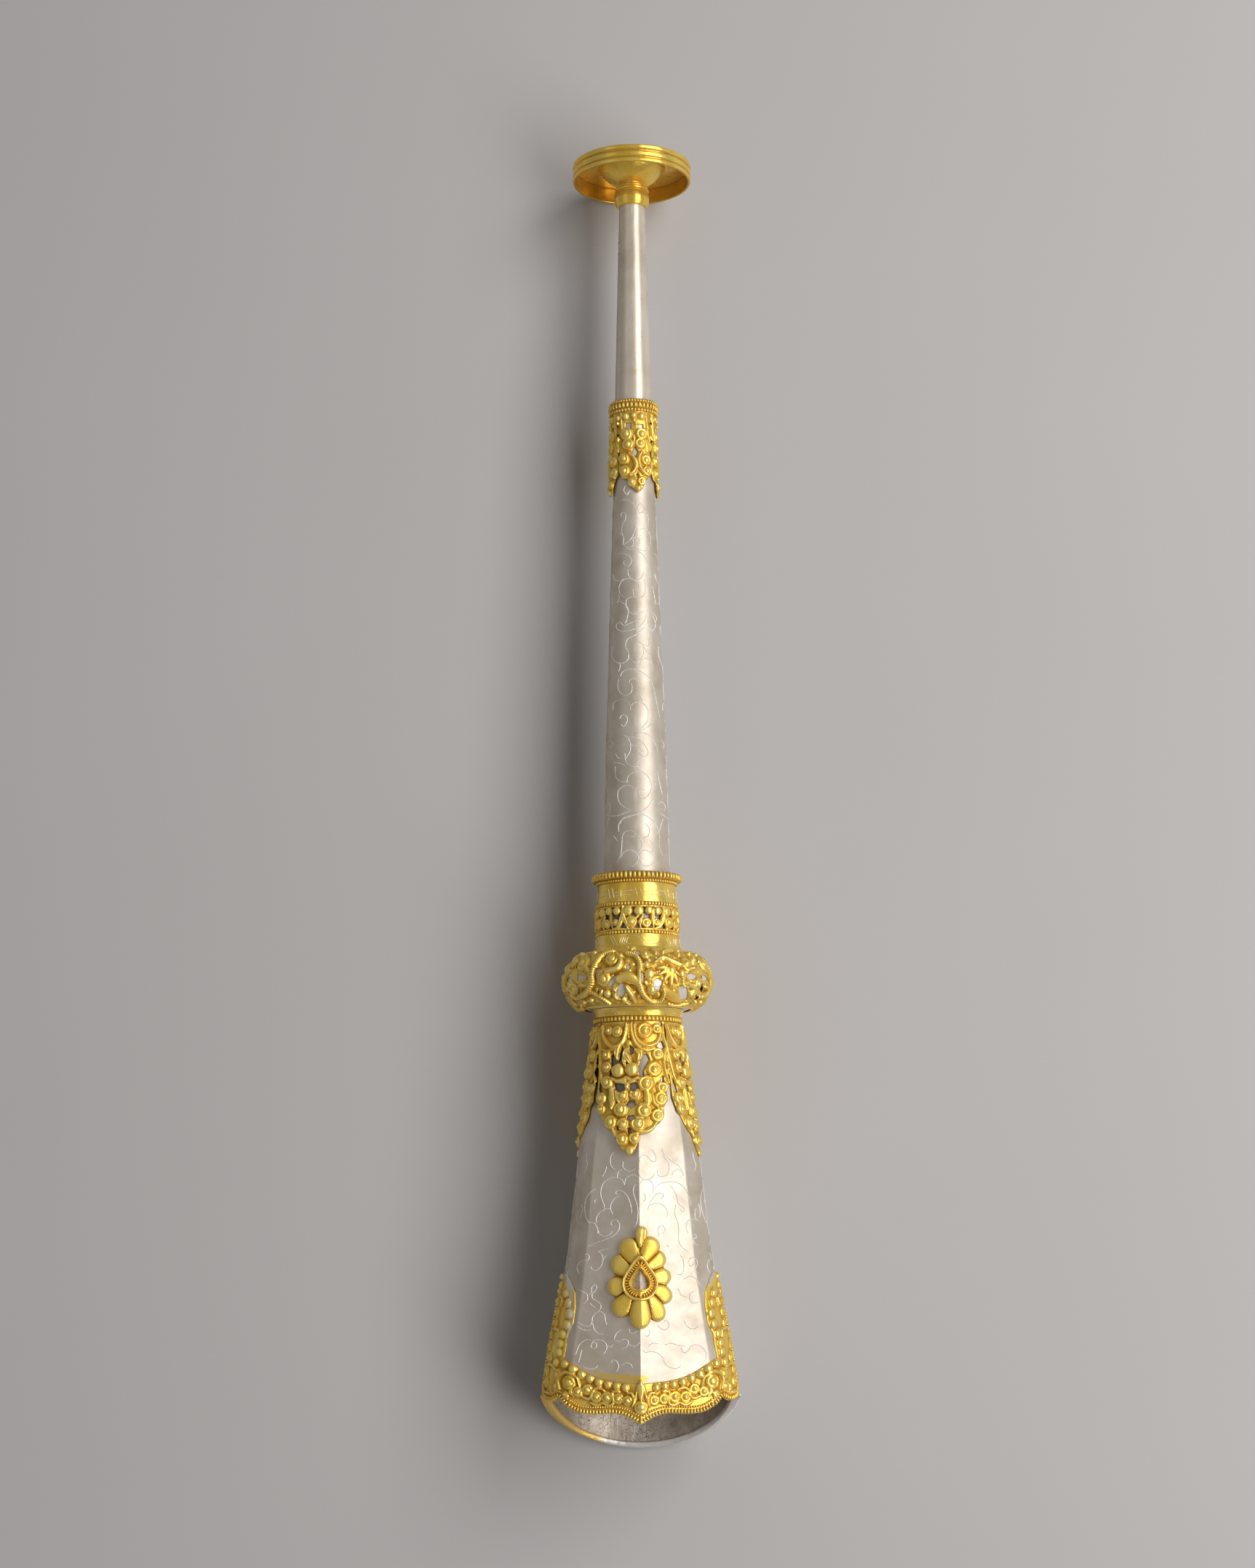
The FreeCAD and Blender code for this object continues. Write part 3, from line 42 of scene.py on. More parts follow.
# The horn's own axes, in millimetres: x to the side, y to the ridge on the bell's front, s along the axis
# from the mouthpiece's front face. place() lays them down as the frame does.
CLIMB = math.radians(1.405)
SEAT = (0.0, 210.932, 19.794)
MM = 0.001
NOWHERE = -9.0


def place(points):
    """Points (x, y, s) in millimetres to the frame, in metres."""
    x, y, s = np.moveaxis(np.asarray(points, float), -1, 0)
    lean, lift = math.sin(CLIMB), math.cos(CLIMB)
    return np.stack([x + SEAT[0], y * lean - s * lift + SEAT[1], y * lift + s * lean + SEAT[2]], -1) * MM


def face_outward(mesh):
    """Turn the faces of every closed shell outward, and those of an open sheet away from the horn's axis."""
    work = bmesh.new()
    work.from_mesh(mesh)
    if all(edge.is_manifold for edge in work.edges):
        bmesh.ops.recalc_face_normals(work, faces=work.faces)
    elif sum(face.calc_area() * (face.normal.xy @ face.calc_center_median().xy) for face in work.faces) < 0:
        bmesh.ops.reverse_faces(work, faces=work.faces)
    work.to_mesh(mesh)
    work.free()


def make_object(name, points, faces, finish, smooth=True, **attributes):
    """A mesh object from points in the horn's axes, riding on the body.

    finish is a material with its slot. A name that ends in _looks replaces the node that it starts with. The
    attributes are numbers, arrays or functions of the points."""
    mesh = bpy.data.meshes.new(name)
    mesh.from_pydata(np.asarray(points).tolist(), [], faces if isinstance(faces, list) else faces.tolist())
    mesh.validate()
    face_outward(mesh)
    mesh.vertices.foreach_set("co", np.asarray(place(points), np.float32).ravel())
    mesh.update()
    if smooth:
        mesh.polygons.foreach_set("use_smooth", np.ones(len(mesh.polygons), bool))
    for key, values in attributes.items():
        values = values(points) if callable(values) else values
        layer = mesh.attributes.new(key, "FLOAT", "POINT").data
        layer.foreach_set("value", np.full(len(points), values, np.float32))
    obj = bpy.data.objects.new(name, mesh)
    bpy.context.scene.collection.objects.link(obj)
    material, slot = finish
    obj.data.materials.append(material)
    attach(obj, "root")
    replaces = [name.removesuffix("_looks")] if name.endswith("_looks") else []
    if replaces:
        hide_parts(*replaces)
    return obj


def grid_faces(rows, columns, closed=False, looped=False):
    """Quads of a grid. closed joins its last column to the first, looped its last row to the first."""
    i, j = np.meshgrid(np.arange(rows if looped else rows - 1), np.arange(columns if closed else columns - 1),
                       indexing="ij")
    k, m = (j + 1) % columns, (i + 1) % rows
    return np.stack([i * columns + j, i * columns + k, m * columns + k, m * columns + j], -1).reshape(-1, 4)


# Materials
class Nodes:
    """The nodes of one tree. Every method adds a node and gives its output."""

    def __init__(self, tree):
        self.tree = tree

    def add(self, kind, inputs, output=0, **settings):
        """inputs: sockets are linked, colours and numbers are set."""
        node = self.tree.nodes.new("ShaderNode" + kind)
        for key, value in settings.items():
            setattr(node, key, value)
        for key, value in inputs.items():
            socket = node.inputs[key]
            if isinstance(value, bpy.types.NodeSocket):
                self.tree.links.new(value, socket)
            else:
                socket.default_value = (*value, 1.0) if socket.type == "RGBA" and len(value) == 3 else value
        return node.outputs[output]

    def noise(self, coordinates, scale, detail=4.0, rough=0.55, distortion=0.0):
        return self.add("TexNoise",
                        {"Vector": coordinates, "Scale": scale, "Detail": detail, "Roughness": rough,
                         "Distortion": distortion}, "Fac")

    def ramp(self, value, stops):
        colour = self.add("ValToRGB", {"Fac": value}, "Color")
        elements = colour.node.color_ramp.elements
        while len(elements) < len(stops):
            elements.new(0.5)
        for element, (position, tone) in zip(elements, stops):
            element.position = position
            element.color = (*tone, 1.0)
        return colour

    def grey(self, value, low, high, out_low=0.0, out_high=1.0):
        return self.add("MapRange", {"Value": value, "From Min": low, "From Max": high, "To Min": out_low,
                                     "To Max": out_high})

    def mix(self, factor, a, b):
        return self.add("Mix", {0: factor, 6: a, 7: b}, 2, data_type="RGBA")

    def calc(self, operation, a, b):
        return self.add("Math", {0: a, 1: b}, operation=operation)

    def attribute(self, name):
        return self.add("Attribute", {}, "Fac", attribute_name=name)

    def bump(self, height, strength, distance, below=None):
        below = {} if below is None else {"Normal": below}
        return self.add("Bump", {"Height": height, "Strength": strength, "Distance": distance, **below})


def new_material(name):
    material = bpy.data.materials.new(name)
    material.use_nodes = True
    material.node_tree.nodes.clear()
    nodes = Nodes(material.node_tree)
    surface = nodes.add("BsdfPrincipled", {})
    nodes.tree.links.new(surface, nodes.tree.nodes.new("ShaderNodeOutputMaterial").inputs[0])
    return material, nodes, surface.node


def metal(name, slot, tones, roughness, dents=(900.0, 0.05), grain=(6000.0, 0.05), relief=None, wear=None,
          brushed=None, blotch=90.0, body=1.0, crest=None, crackle=None):
    """Worn metal and its slot. tones: dark, middle and light colour. relief: colour of the painted shade in
    the recesses, which also stands for patina there.

    wear: worn colour. crest: colour of the painted highlight on the high points, which also stands for
    gilding
    rubbed there. crackle: colour of the thin dark lines where the skin has cracked. body: how metallic the
    lit colour is."""
    material, nodes, shader = new_material(name)
    coordinates = nodes.add("TexCoord", {}, "Object")
    broad = nodes.noise(coordinates, blotch, 5.0, 0.6, 0.3)
    fine = nodes.noise(coordinates, 1400.0, 3.0, 0.6)
    colour = nodes.ramp(broad, [(0.3, tones[0]), (0.5, tones[1]), (0.72, tones[2])])
    colour = nodes.mix(nodes.calc("MULTIPLY", nodes.grey(fine, 0.35, 0.7), 0.35), colour, tones[1])
    # Painted shade: where the relief value is low, the recesses take a darker colour, which also stands for
    # patina there.
    if relief:
        shade_and_patina = nodes.grey(nodes.attribute("relief"), relief[1], relief[2], 1.0, 0.0)
        shade_and_patina = nodes.calc("MULTIPLY", shade_and_patina, nodes.grey(broad, 0.2, 0.6, 0.65, 1.0))
        colour = nodes.mix(shade_and_patina, colour, relief[0])
    # Painted highlight: the high points take a paler colour, which also stands for gilding rubbed there.
    if crest:
        colour = nodes.mix(nodes.grey(nodes.attribute("relief"), 0.62, 1.0, 0.0, crest[1]), colour, crest[0])
    if crackle:
        lines = nodes.noise(coordinates, 320.0, 4.0, 0.65, 0.6)
        away = nodes.calc("ABSOLUTE", nodes.calc("SUBTRACT", lines, 0.5), 0.0)
        line = nodes.calc("MULTIPLY", nodes.grey(away, 0.004, 0.016, 1.0, 0.0),
                          nodes.grey(broad, 0.40, 0.56, 0.0, 0.9))
        colour = nodes.mix(line, colour, crackle)
    if wear:
        edge = nodes.attribute("wear")
        for texture, amount in ((broad, wear[1]), (fine, 0.5)):
            edge = nodes.calc("ADD", edge,
                              nodes.calc("MULTIPLY", nodes.calc("SUBTRACT", texture, 0.5), amount))
        colour = nodes.mix(nodes.grey(edge, 0.42, 0.62), colour, wear[0])
    nodes.tree.links.new(colour, shader.inputs["Base Color"])
    shader.inputs["Metallic"].default_value = body
    shader.inputs["Specular IOR Level"].default_value = 0.1
    nodes.tree.links.new(nodes.grey(nodes.noise(coordinates, 260.0), 0.3, 0.7, *roughness),
                         shader.inputs["Roughness"])
    skin = nodes.bump(nodes.noise(coordinates, dents[0], 2.0, 0.5), dents[1], 0.001)
    skin = nodes.bump(nodes.noise(coordinates, grain[0], 3.0, 0.6), grain[1], 0.0003, skin)
    if brushed:
        stretched = nodes.add("Mapping", {"Vector": coordinates, "Scale": brushed[0]})
        skin = nodes.bump(nodes.noise(stretched, 1000.0, 2.0, 0.5), brushed[1], 0.0002, skin)
    nodes.tree.links.new(skin, shader.inputs["Normal"])
    return material, slot


GOLD = ((0.92, 0.54, 0.06), (1.0, 0.68, 0.12), (1.0, 0.79, 0.22))
# The deep gold is painted shade in the recesses, which also stands for patina there. The crest gold is a
# painted highlight on the high points, which also stands for gilding rubbed there.
GOLD_SHADE_AND_PATINA = (0.42, 0.18, 0.018)
GOLD_RUBBED_CREST_HIGHLIGHT = (1.0, 0.85, 0.36)
SILVER = ((0.59, 0.50, 0.385), (0.71, 0.63, 0.52), (0.81, 0.74, 0.645))
SILVER_WORN = (0.82, 0.78, 0.72)
chased = metal("chased_gilt", "chased_gilt", GOLD, (0.24, 0.36), (1500.0, 0.08), (5000.0, 0.06),
               relief=(GOLD_SHADE_AND_PATINA, 0.02, 0.48), wear=(SILVER_WORN, 0.5), body=0.58, crest=(GOLD_RUBBED_CREST_HIGHLIGHT, 0.6))
polished = metal("polished_gilt", "polished_gilt", GOLD, (0.17, 0.31), (160.0, 0.25), (3500.0, 0.04),
                 relief=(GOLD_SHADE_AND_PATINA, -1.0, 0.4), wear=(SILVER_WORN, 0.9), body=0.66)
# The hammered gilt's deeper orange recess colour is painted shade, which also stands for patina there.
hammered = metal("hammered_gilt", "polished_gilt", GOLD, (0.16, 0.32), (240.0, 0.35), (3500.0, 0.05),
                 relief=((0.80, 0.42, 0.08), -1.0, 0.4), wear=(SILVER_WORN, 0.9), body=0.52)
plain = metal("plain_silver", "plain_silver", ((0.66, 0.55, 0.43), (0.80, 0.70, 0.57), (0.88, 0.80, 0.69)),
              (0.26, 0.36), (90.0, 0.06), (2600.0, 0.04), brushed=((1.0, 0.05, 1.0), 0.05), body=0.40,
              blotch=60.0)
# The engraved silver's recess colour is painted shade, which the bell takes under the collar's left.
engraved = metal("engraved_silver", "engraved_silver", SILVER, (0.42, 0.55), (80.0, 0.30), (2600.0, 0.04),
                 relief=((0.13, 0.105, 0.08), 0.15, 0.6), wear=((0.86, 0.60, 0.16), 0.8), body=0.62)
# The bright cut's near-white colour is a painted glint of the engraved lines.
bright = metal("bright_cut", "engraved_silver", ((0.92, 0.89, 0.84), (0.98, 0.95, 0.91), (1.0, 0.99, 0.97)),
               (0.40, 0.55), (900.0, 0.1), body=0.2)
inner = metal("inner_silver", "inner_silver", ((0.24, 0.19, 0.145), (0.50, 0.42, 0.34), (0.66, 0.58, 0.49)),
              (0.36, 0.58), (500.0, 0.2), (2500.0, 0.3), brushed=((1.0, 0.1, 1.0), 0.5), body=0.6,
              crackle=(0.05, 0.04, 0.03))
worn_silver = metal("worn_silver", "plain_silver",
                    ((0.72, 0.66, 0.58), (0.86, 0.81, 0.74), (0.95, 0.92, 0.87)), (0.30, 0.46),
                    (700.0, 0.2), wear=((0.90, 0.62, 0.18), 0.7), body=0.4)

# Surfaces
def revolve(radius, station, angle):
    """Points round the horn's axis."""
    radius, station, angle = np.broadcast_arrays(radius, station, angle)
    return np.stack([radius * np.sin(angle), radius * np.cos(angle), station], -1)


def ring_angles(count, start=0.0):
    return (np.arange(count) + start) * 2 * math.pi / count


def unit(vectors):
    return vectors / np.linalg.norm(vectors, axis=-1, keepdims=True)


def outward(vectors, points):
    """The vectors, turned to point away from the horn's axis."""
    return vectors * np.where((vectors[..., :2] * points[..., :2]).sum(-1, keepdims=True) < 0, -1.0, 1.0)


FACET_EDGE = 0.74
BACK_FULLNESS = 0.6
THROAT = 289.0
WALL = 0.8
# Sections of the bell: station, half width, height in front, depth behind, and how flat its facets are.
BELL = np.array([
    (THROAT, 13.0, 13.0, 13.0, 0.0), (309.0, 15.9, 15.9, 15.9, 0.25), (330.0, 19.0, 18.3, 18.6, 0.9),
    (365.0, 23.3, 19.4, 21.8, 1.0), (400.0, 29.3, 20.6, 26.0, 1.0), (426.7, 30.6, 21.2, 28.2, 1.0)])


def bell_values(station):
    """The bell's four measures at a station, on smooth curves through its sections."""
    s = np.asarray(station, float)
    last = len(BELL) - 1
    span = np.clip(np.searchsorted(BELL[:, 0], s, side="right") - 1, 0, last - 1)
    length = BELL[span + 1, 0] - BELL[span, 0]
    part = np.clip((s - BELL[span, 0]) / length, 0.0, 1.0)
    rise = BELL[np.minimum(np.arange(last + 1) + 1, last)] - BELL[np.maximum(np.arange(last + 1) - 1, 0)]
    values = []
    for column in range(1, 5):
        slope = rise[:, column] / rise[:, 0]
        values.append((2 * part**3 - 3 * part**2 + 1) * BELL[span, column]
                      + (part**3 - 2 * part**2 + part) * length * slope[span]
                      + (3 * part**2 - 2 * part**3) * BELL[span + 1, column]
                      + (part**3 - part**2) * length * slope[span + 1])
    return values


def bell_point(turn, station, grow=0.0):
    """turn is 0 on the ridge, 1 on the facet's edge, 2 on the side and 3 at the foot. Minus is left."""
    half, front, back, flat = bell_values(station)
    wide, high, deep = half + grow, front + grow, back + grow
    edge_angle = math.acos(FACET_EDGE)
    edge_sine = math.sin(edge_angle)
    ex, ey = wide * FACET_EDGE, high * edge_sine
    zero = np.zeros_like(wide)
    top = 4 / 3 * math.tan((math.pi / 2 - edge_angle) / 4)
    side = 4 / 3 * math.tan(edge_angle / 4)
    full = 4 / 3 * math.tan(math.pi / 8) * (1 - flat) + BACK_FULLNESS * flat
    ridge = ((zero, high),
             (wide * top * (1 - flat) + ex / 3 * flat, high * (1 - flat) + (high + (ey - high) / 3) * flat),
             ((ex - wide * edge_sine * top) * (1 - flat) + ex * 2 / 3 * flat,
              (ey + high * FACET_EDGE * top) * (1 - flat) + (ey + (high - ey) / 3) * flat),
             (ex, ey))
    flank = ((ex, ey), (ex + wide * edge_sine * side, ey - high * FACET_EDGE * side), (wide, high * side),
             (wide, zero))
    foot = ((wide, zero), (wide, -deep * full), (wide * full, -deep), (zero, -deep))
    t = np.abs(turn)
    part = np.clip(t - np.clip(np.floor(t), 0, 2), 0.0, 1.0)
    weights = ((1 - part)**3, 3 * part * (1 - part)**2, 3 * part**2 * (1 - part), part**3)
    found = []
    for axis in (0, 1):
        curves = [sum(w * pole[axis] for w, pole in zip(weights, poles)) for poles in (ridge, flank, foot)]
        found.append(np.where(t < 1, curves[0], np.where(t < 2, curves[1], curves[2])))
    return found[0] * np.where(np.asarray(turn) < 0, -1.0, 1.0), found[1]


# The length of the bell's skin round each station, measured from the ridge.
BELL_S = np.arange(THROAT, 428.0, 1.0)
TURNS = np.linspace(0.0, 3.0, 181)
SIDE_COLUMN = 120
SKIN_X, SKIN_Y = bell_point(*np.meshgrid(TURNS, BELL_S))
ARC = np.pad(np.cumsum(np.hypot(np.diff(SKIN_X, axis=1), np.diff(SKIN_Y, axis=1)), axis=1), ((0, 0), (1, 0)))
SHARES = np.linspace(0.0, 1.0, len(TURNS))
TURN_OF = np.array([np.interp(SHARES, row / row[-1], TURNS) for row in ARC])
HALF_ROUND = ARC[:, -1]


def turn_at(u, s):
    """The turn of the bell point at arc length u from the ridge."""
    half = np.interp(s, BELL_S, HALF_ROUND)
    column = np.clip(np.abs(u) / half, 0.0, 1.0) * (len(SHARES) - 1)
    row = np.clip(s - BELL_S[0], 0.0, len(BELL_S) - 1.001)
    i, j = np.floor(row).astype(int), np.minimum(np.floor(column).astype(int), len(SHARES) - 2)
    a, b = row - i, column - j
    turn = ((TURN_OF[i, j] * (1 - b) + TURN_OF[i, j + 1] * b) * (1 - a)
            + (TURN_OF[i + 1, j] * (1 - b) + TURN_OF[i + 1, j + 1] * b) * a)
    return turn * np.where(np.asarray(u) < 0, -1.0, 1.0)


def arc_of(x, s):
    """Arc length from the ridge of the point of the bell's front at side distance x."""
    row = int(np.clip(round(s - BELL_S[0]), 0, len(BELL_S) - 1))
    front = slice(0, SIDE_COLUMN + 1)
    return math.copysign(float(np.interp(abs(x), SKIN_X[row, front], ARC[row, front])), x)


def side_arc(s):
    """Arc length from the ridge to the bell's side."""
    return np.interp(s, BELL_S, ARC[:, SIDE_COLUMN])


def bell_base(u, s):
    return np.stack([*bell_point(turn_at(u, s), s), s], -1)


def bell_surface(u, s, h):
    """Points at height h above the bell's skin."""
    here = bell_base(u, s)
    step = 0.4
    along = bell_base(u, s + step) - bell_base(u, s - step)
    across = bell_base(u + step, s) - bell_base(u - step, s)
    return here + outward(unit(np.cross(along, across)), here) * np.asarray(h)[..., None]


def round_surface(radius_at, turn_degrees=0.0, arc_radius=None):
    """A surface of revolution. u is an arc length, measured at arc_radius where that is given."""
    def surface(u, s, h):
        angle = u / (arc_radius or radius_at)(s) + math.radians(turn_degrees)
        return revolve(radius_at(s) + h, s, angle)
    return surface


def waves(a, b):
    """Slow uneven dents of hand-raised metal, between about -1 and 1."""
    total = 0.0
    ripples = (0.21, 0.13, 0.3), (0.37, -0.22, 1.9), (-0.3, 0.41, 4.1), (0.62, 0.3, 2.2), (0.15, 0.72, 5.0)
    for k, (fa, fb, phase) in enumerate(ripples):
        total = total + np.sin(a * fa + b * fb + phase + 1.3 * np.sin(0.11 * b + k)) / 2.4
    return total


def bell_dents(turn, station):
    """Dents of the bell, which fade towards its throat and its ridge."""
    fade = np.clip((station - 300) / 20, 0, 1) * (1 - 0.6 * np.exp(-(turn / 0.12)**2))
    return 0.05 * waves(turn * 20, station) * fade


# Ornament: every figure adds its height to a field over (u, v) in millimetres
class Field:
    """Heights, sheet metal and holes. spot turns drawing coordinates into (u, v)."""

    def __init__(self, u, v, ground):
        self.u, self.v = u, v
        self.h = np.full(u.shape, ground)
        self.metal = np.full(u.shape, NOWHERE)
        self.hole = np.full(u.shape, NOWHERE)
        self.spot = lambda a, b: (a, b)

    def at(self, points):
        """Points given two by two, or number after number."""
        return [self.spot(*p) for p in np.reshape(points, (-1, 2))]

    def window(self, low, high):
        return (self.u >= low[0]) & (self.u <= high[0]) & (self.v >= low[1]) & (self.v <= high[1])

    def lay(self, w, height, distance=None):
        """Raise the window to a height, and add metal where the distance to its edge is positive."""
        self.h[w] = np.maximum(self.h[w], height)
        if distance is not None:
            self.metal[w] = np.maximum(self.metal[w], distance)

    def around(self, a, b, r):
        centre = np.array(self.spot(a, b))
        w = self.window(centre - r - 1, centre + r + 1)
        return w, self.u[w] - centre[0], self.v[w] - centre[1]

    def boss(self, a, b, r, height):
        w, du, dv = self.around(a, b, r)
        d = np.hypot(du, dv)
        self.lay(w, np.where(d < r, 0.3 + (height - 0.3) * np.sqrt(np.clip(1 - (d / r)**2, 0, 1)), NOWHERE),
                 r - d)

    def spiral(self, a, b, r, height, way=1.0, start=0.0):
        """A coiled scroll round a pearl."""
        w, du, dv = self.around(a, b, r)
        d = np.hypot(du, dv)
        rel = d / r
        turn = np.arctan2(dv, du) / (2 * math.pi)
        dome = np.sqrt(np.clip(1 - 0.96 * np.clip(rel, 0, 1)**2.4, 0, 1))
        groove = np.exp(-((rel - 0.54 - 0.22 * np.mod(way * turn + start, 1.0) + 0.11) / 0.10)**2)
        body = height * (0.15 + 0.80 * dome - 0.30 * groove)
        pearl = height * (0.62 + 0.45 * np.sqrt(np.clip(1 - (rel / 0.32)**2, 0, 1)))
        body = np.where(rel < 0.32, np.maximum(body, pearl), body)
        self.lay(w, np.where(rel < 1, body, NOWHERE), r - d)

    def line(self, points, width, height, flutes=0, mill=0.0, solid=True):
        """A rounded strand along a smooth curve. width is one number or (start, middle, end)."""
        path = smooth_path(self.at(points))
        widths = np.interp(np.linspace(0, 1, len(path)), [0, 0.5, 1], width * np.ones(3))
        reach = widths.max() + 0.6
        w = self.window(path.min(0) - reach, path.max(0) + reach)
        if not w.any():
            return
        best, local, side, run = (np.full(w.sum(), start) for start in (1e9, 0.1, 0.0, 0.0))
        total = 0.0
        for a, b, wa, wb in zip(path[:-1], path[1:], widths[:-1], widths[1:]):
            length = math.hypot(*(b - a))
            t, dx, dy = to_segment(self.u[w], self.v[w], a, b)
            wid = wa + (wb - wa) * t
            d = np.hypot(dx, dy)
            closer = d / wid < best / local
            best, local = np.where(closer, d, best), np.where(closer, wid, local)
            side = np.where(closer, (dx * (b - a)[1] - dy * (b - a)[0]) / length, side)
            run = np.where(closer, total + t * length, run)
            total += length
        rel = best / local
        profile = np.sqrt(np.clip(1 - rel**2, 0, 1))
        z = 0.2 + (height - 0.2) * profile
        if flutes:
            z = z - 0.17 * height * (0.5 - 0.5 * np.cos(math.pi * flutes * side / local)) * profile
        if mill:
            z = z - 0.3 * height * (0.5 + 0.5 * np.cos(2 * math.pi * run / mill)) * profile
        distance = np.where(rel < 2, local - best, NOWHERE) if solid else None
        self.lay(w, np.where(rel < 1, z, NOWHERE), distance)

    def leaf(self, points, width, height, solid=True):
        """A leaf that swells and ends in a point, with a sunk vein."""
        before = self.h.copy()
        self.h[:] = NOWHERE
        self.line(points, (width * 0.35, width, width * 0.2), height, solid=solid)
        self.h = np.maximum(before, self.h - 0.35 * height * self.vein(points, width * 0.22))

    def vein(self, points, width):
        """1 along a smooth curve, falling to 0 at width."""
        path = smooth_path(self.at(points))
        depth = np.zeros(self.u.shape)
        w = self.window(path.min(0) - width, path.max(0) + width)
        near = [np.hypot(*to_segment(self.u[w], self.v[w], a, b)[1:]) for a, b in zip(path[:-1], path[1:])]
        depth[w] = np.clip(1 - np.minimum.reduce(near) / width, 0, 1)
        return depth

    def inside(self, points):
        return inside_distance(self.u, self.v, self.at(points))

    def outline(self, points):
        """Sheet metal inside a closed outline."""
        self.metal = np.maximum(self.metal, self.inside(points))

    def cut(self, points, grow=0.0):
        self.hole = np.maximum(self.hole, self.inside(points) + grow)

    def sheet(self):
        return np.minimum(self.metal, -self.hole)


def to_segment(u, v, a, b):
    """The nearest spot on a segment: its share of the way, and the way from it in u and v."""
    ab = b - a
    t = np.clip(((u - a[0]) * ab[0] + (v - a[1]) * ab[1]) / max(ab @ ab, 1e-9), 0, 1)
    return t, u - a[0] - t * ab[0], v - a[1] - t * ab[1]


def smooth_path(points, spacing=0.35):
    """A smooth curve through the points, in steps of about the spacing."""
    p = np.asarray(points, float)
    if len(p) == 2:
        count = max(2, int(math.hypot(*(p[1] - p[0])) / spacing))
        return p[0] + (p[1] - p[0]) * np.linspace(0, 1, count)[:, None]
    ends = np.vstack([2 * p[0] - p[1], p, 2 * p[-1] - p[-2]])
    out = []
    for i in range(1, len(ends) - 2):
        a, b, c, d = ends[i - 1:i + 3]
        count = max(2, int(math.hypot(*(c - b)) / spacing))
        t = np.linspace(0, 1, count, endpoint=False)[:, None]
        out.append(0.5 * (2 * b + (c - a) * t + (2 * a - 5 * b + 4 * c - d) * t**2
                          + (3 * b - a - 3 * c + d) * t**3))
    return np.vstack([*out, p[-1:]])


def inside_distance(u, v, points):
    """Distance to a closed outline, positive inside."""
    p = np.asarray(points, float)
    best = np.full(u.shape, 1e9)
    inside = np.zeros(u.shape, bool)
    for a, b in zip(p, np.roll(p, -1, axis=0)):
        best = np.minimum(best, np.hypot(*to_segment(u, v, a, b)[1:]))
        crossing = (b[0] - a[0]) * (v - a[1]) / ((b[1] - a[1]) or 1e-9) + a[0]
        inside ^= ((a[1] > v) != (b[1] > v)) & (u < crossing)
    return np.where(inside, best, -best)


def local_relief(h, sheet, steps, reach=0.75, spread=0.45):
    """How far each spot stands above its surroundings: 0 in a groove, 0.5 on the flat, 1 on a crest."""
    level = np.where(sheet > 0, h, h.min())
    cells = [max(1, int(round(reach / max(float(np.median(np.abs(step))), 1e-3)))) for step in steps]
    for count in cells * 3:
        total = np.cumsum(np.pad(level, ((count + 1, count), (0, 0)), mode="edge"), axis=0)
        level = ((total[2 * count + 1:] - total[:-2 * count - 1]) / (2 * count + 1)).T
    return np.clip(0.5 + (h - level) / (2 * spread), 0, 1)


SHEET_FOOT = 0.02
ROUND_OVER = 0.35


def relief_sheet(name, surfaces, u_of, us, vs, draw, finish=chased, ground=0.35,
                 wear=lambda points, h: 0.0 * h):
    """A worked sheet, open where its figures leave it, on each of the surfaces. u_of(share, v) gives u."""
    share, v = np.meshgrid(us, vs, indexing="ij")
    u = u_of(share, v)
    field = Field(u, v, ground)
    draw(field)
    sheet = field.sheet()
    edge = np.sqrt(np.clip(sheet / ROUND_OVER, 0, 1))
    h = SHEET_FOOT + (np.maximum(field.h, ground) - SHEET_FOOT) * (0.35 + 0.65 * edge)
    # spots just outside the metal move in to its edge
    steps = np.gradient(u, axis=0), np.gradient(v, axis=1)
    gu, gv = np.gradient(sheet, axis=0) / steps[0], np.gradient(sheet, axis=1) / steps[1]
    out = sheet <= 0
    move = np.clip(-sheet, 0, None) / np.maximum(gu**2 + gv**2, 0.05)
    du, dv = move * gu, move * gv
    scale = np.minimum(1.0, np.hypot(*steps) * 1.1 / np.maximum(np.hypot(du, dv), 1e-9))
    u, v, h = np.where(out, u + du * scale, u), np.where(out, v + dv * scale, v), np.where(out, SHEET_FOOT, h)
    faces = grid_faces(len(us), len(vs))
    faces = faces[(sheet.ravel()[faces] > 0).any(1)]
    used, faces = np.unique(faces, return_inverse=True)
    faces = faces.reshape(-1, 4)
    # The relief values feed the painted shade in the grooves and the painted highlight on the crests.
    stands = local_relief(h, sheet, steps).ravel()[used]
    uu, vv, hh = u.ravel()[used], v.ravel()[used], h.ravel()[used]
    tiles = len(surfaces)
    return make_object(name, np.vstack([surface(uu, vv, hh) for surface in surfaces]),
                       np.vstack([faces + tile * len(used) for tile in range(tiles)]), finish,
                       relief=np.tile(stands, tiles), wear=lambda points: wear(points, np.tile(hh, tiles)))


BEAD_RINGS, BEAD_SIDES = 6, 8


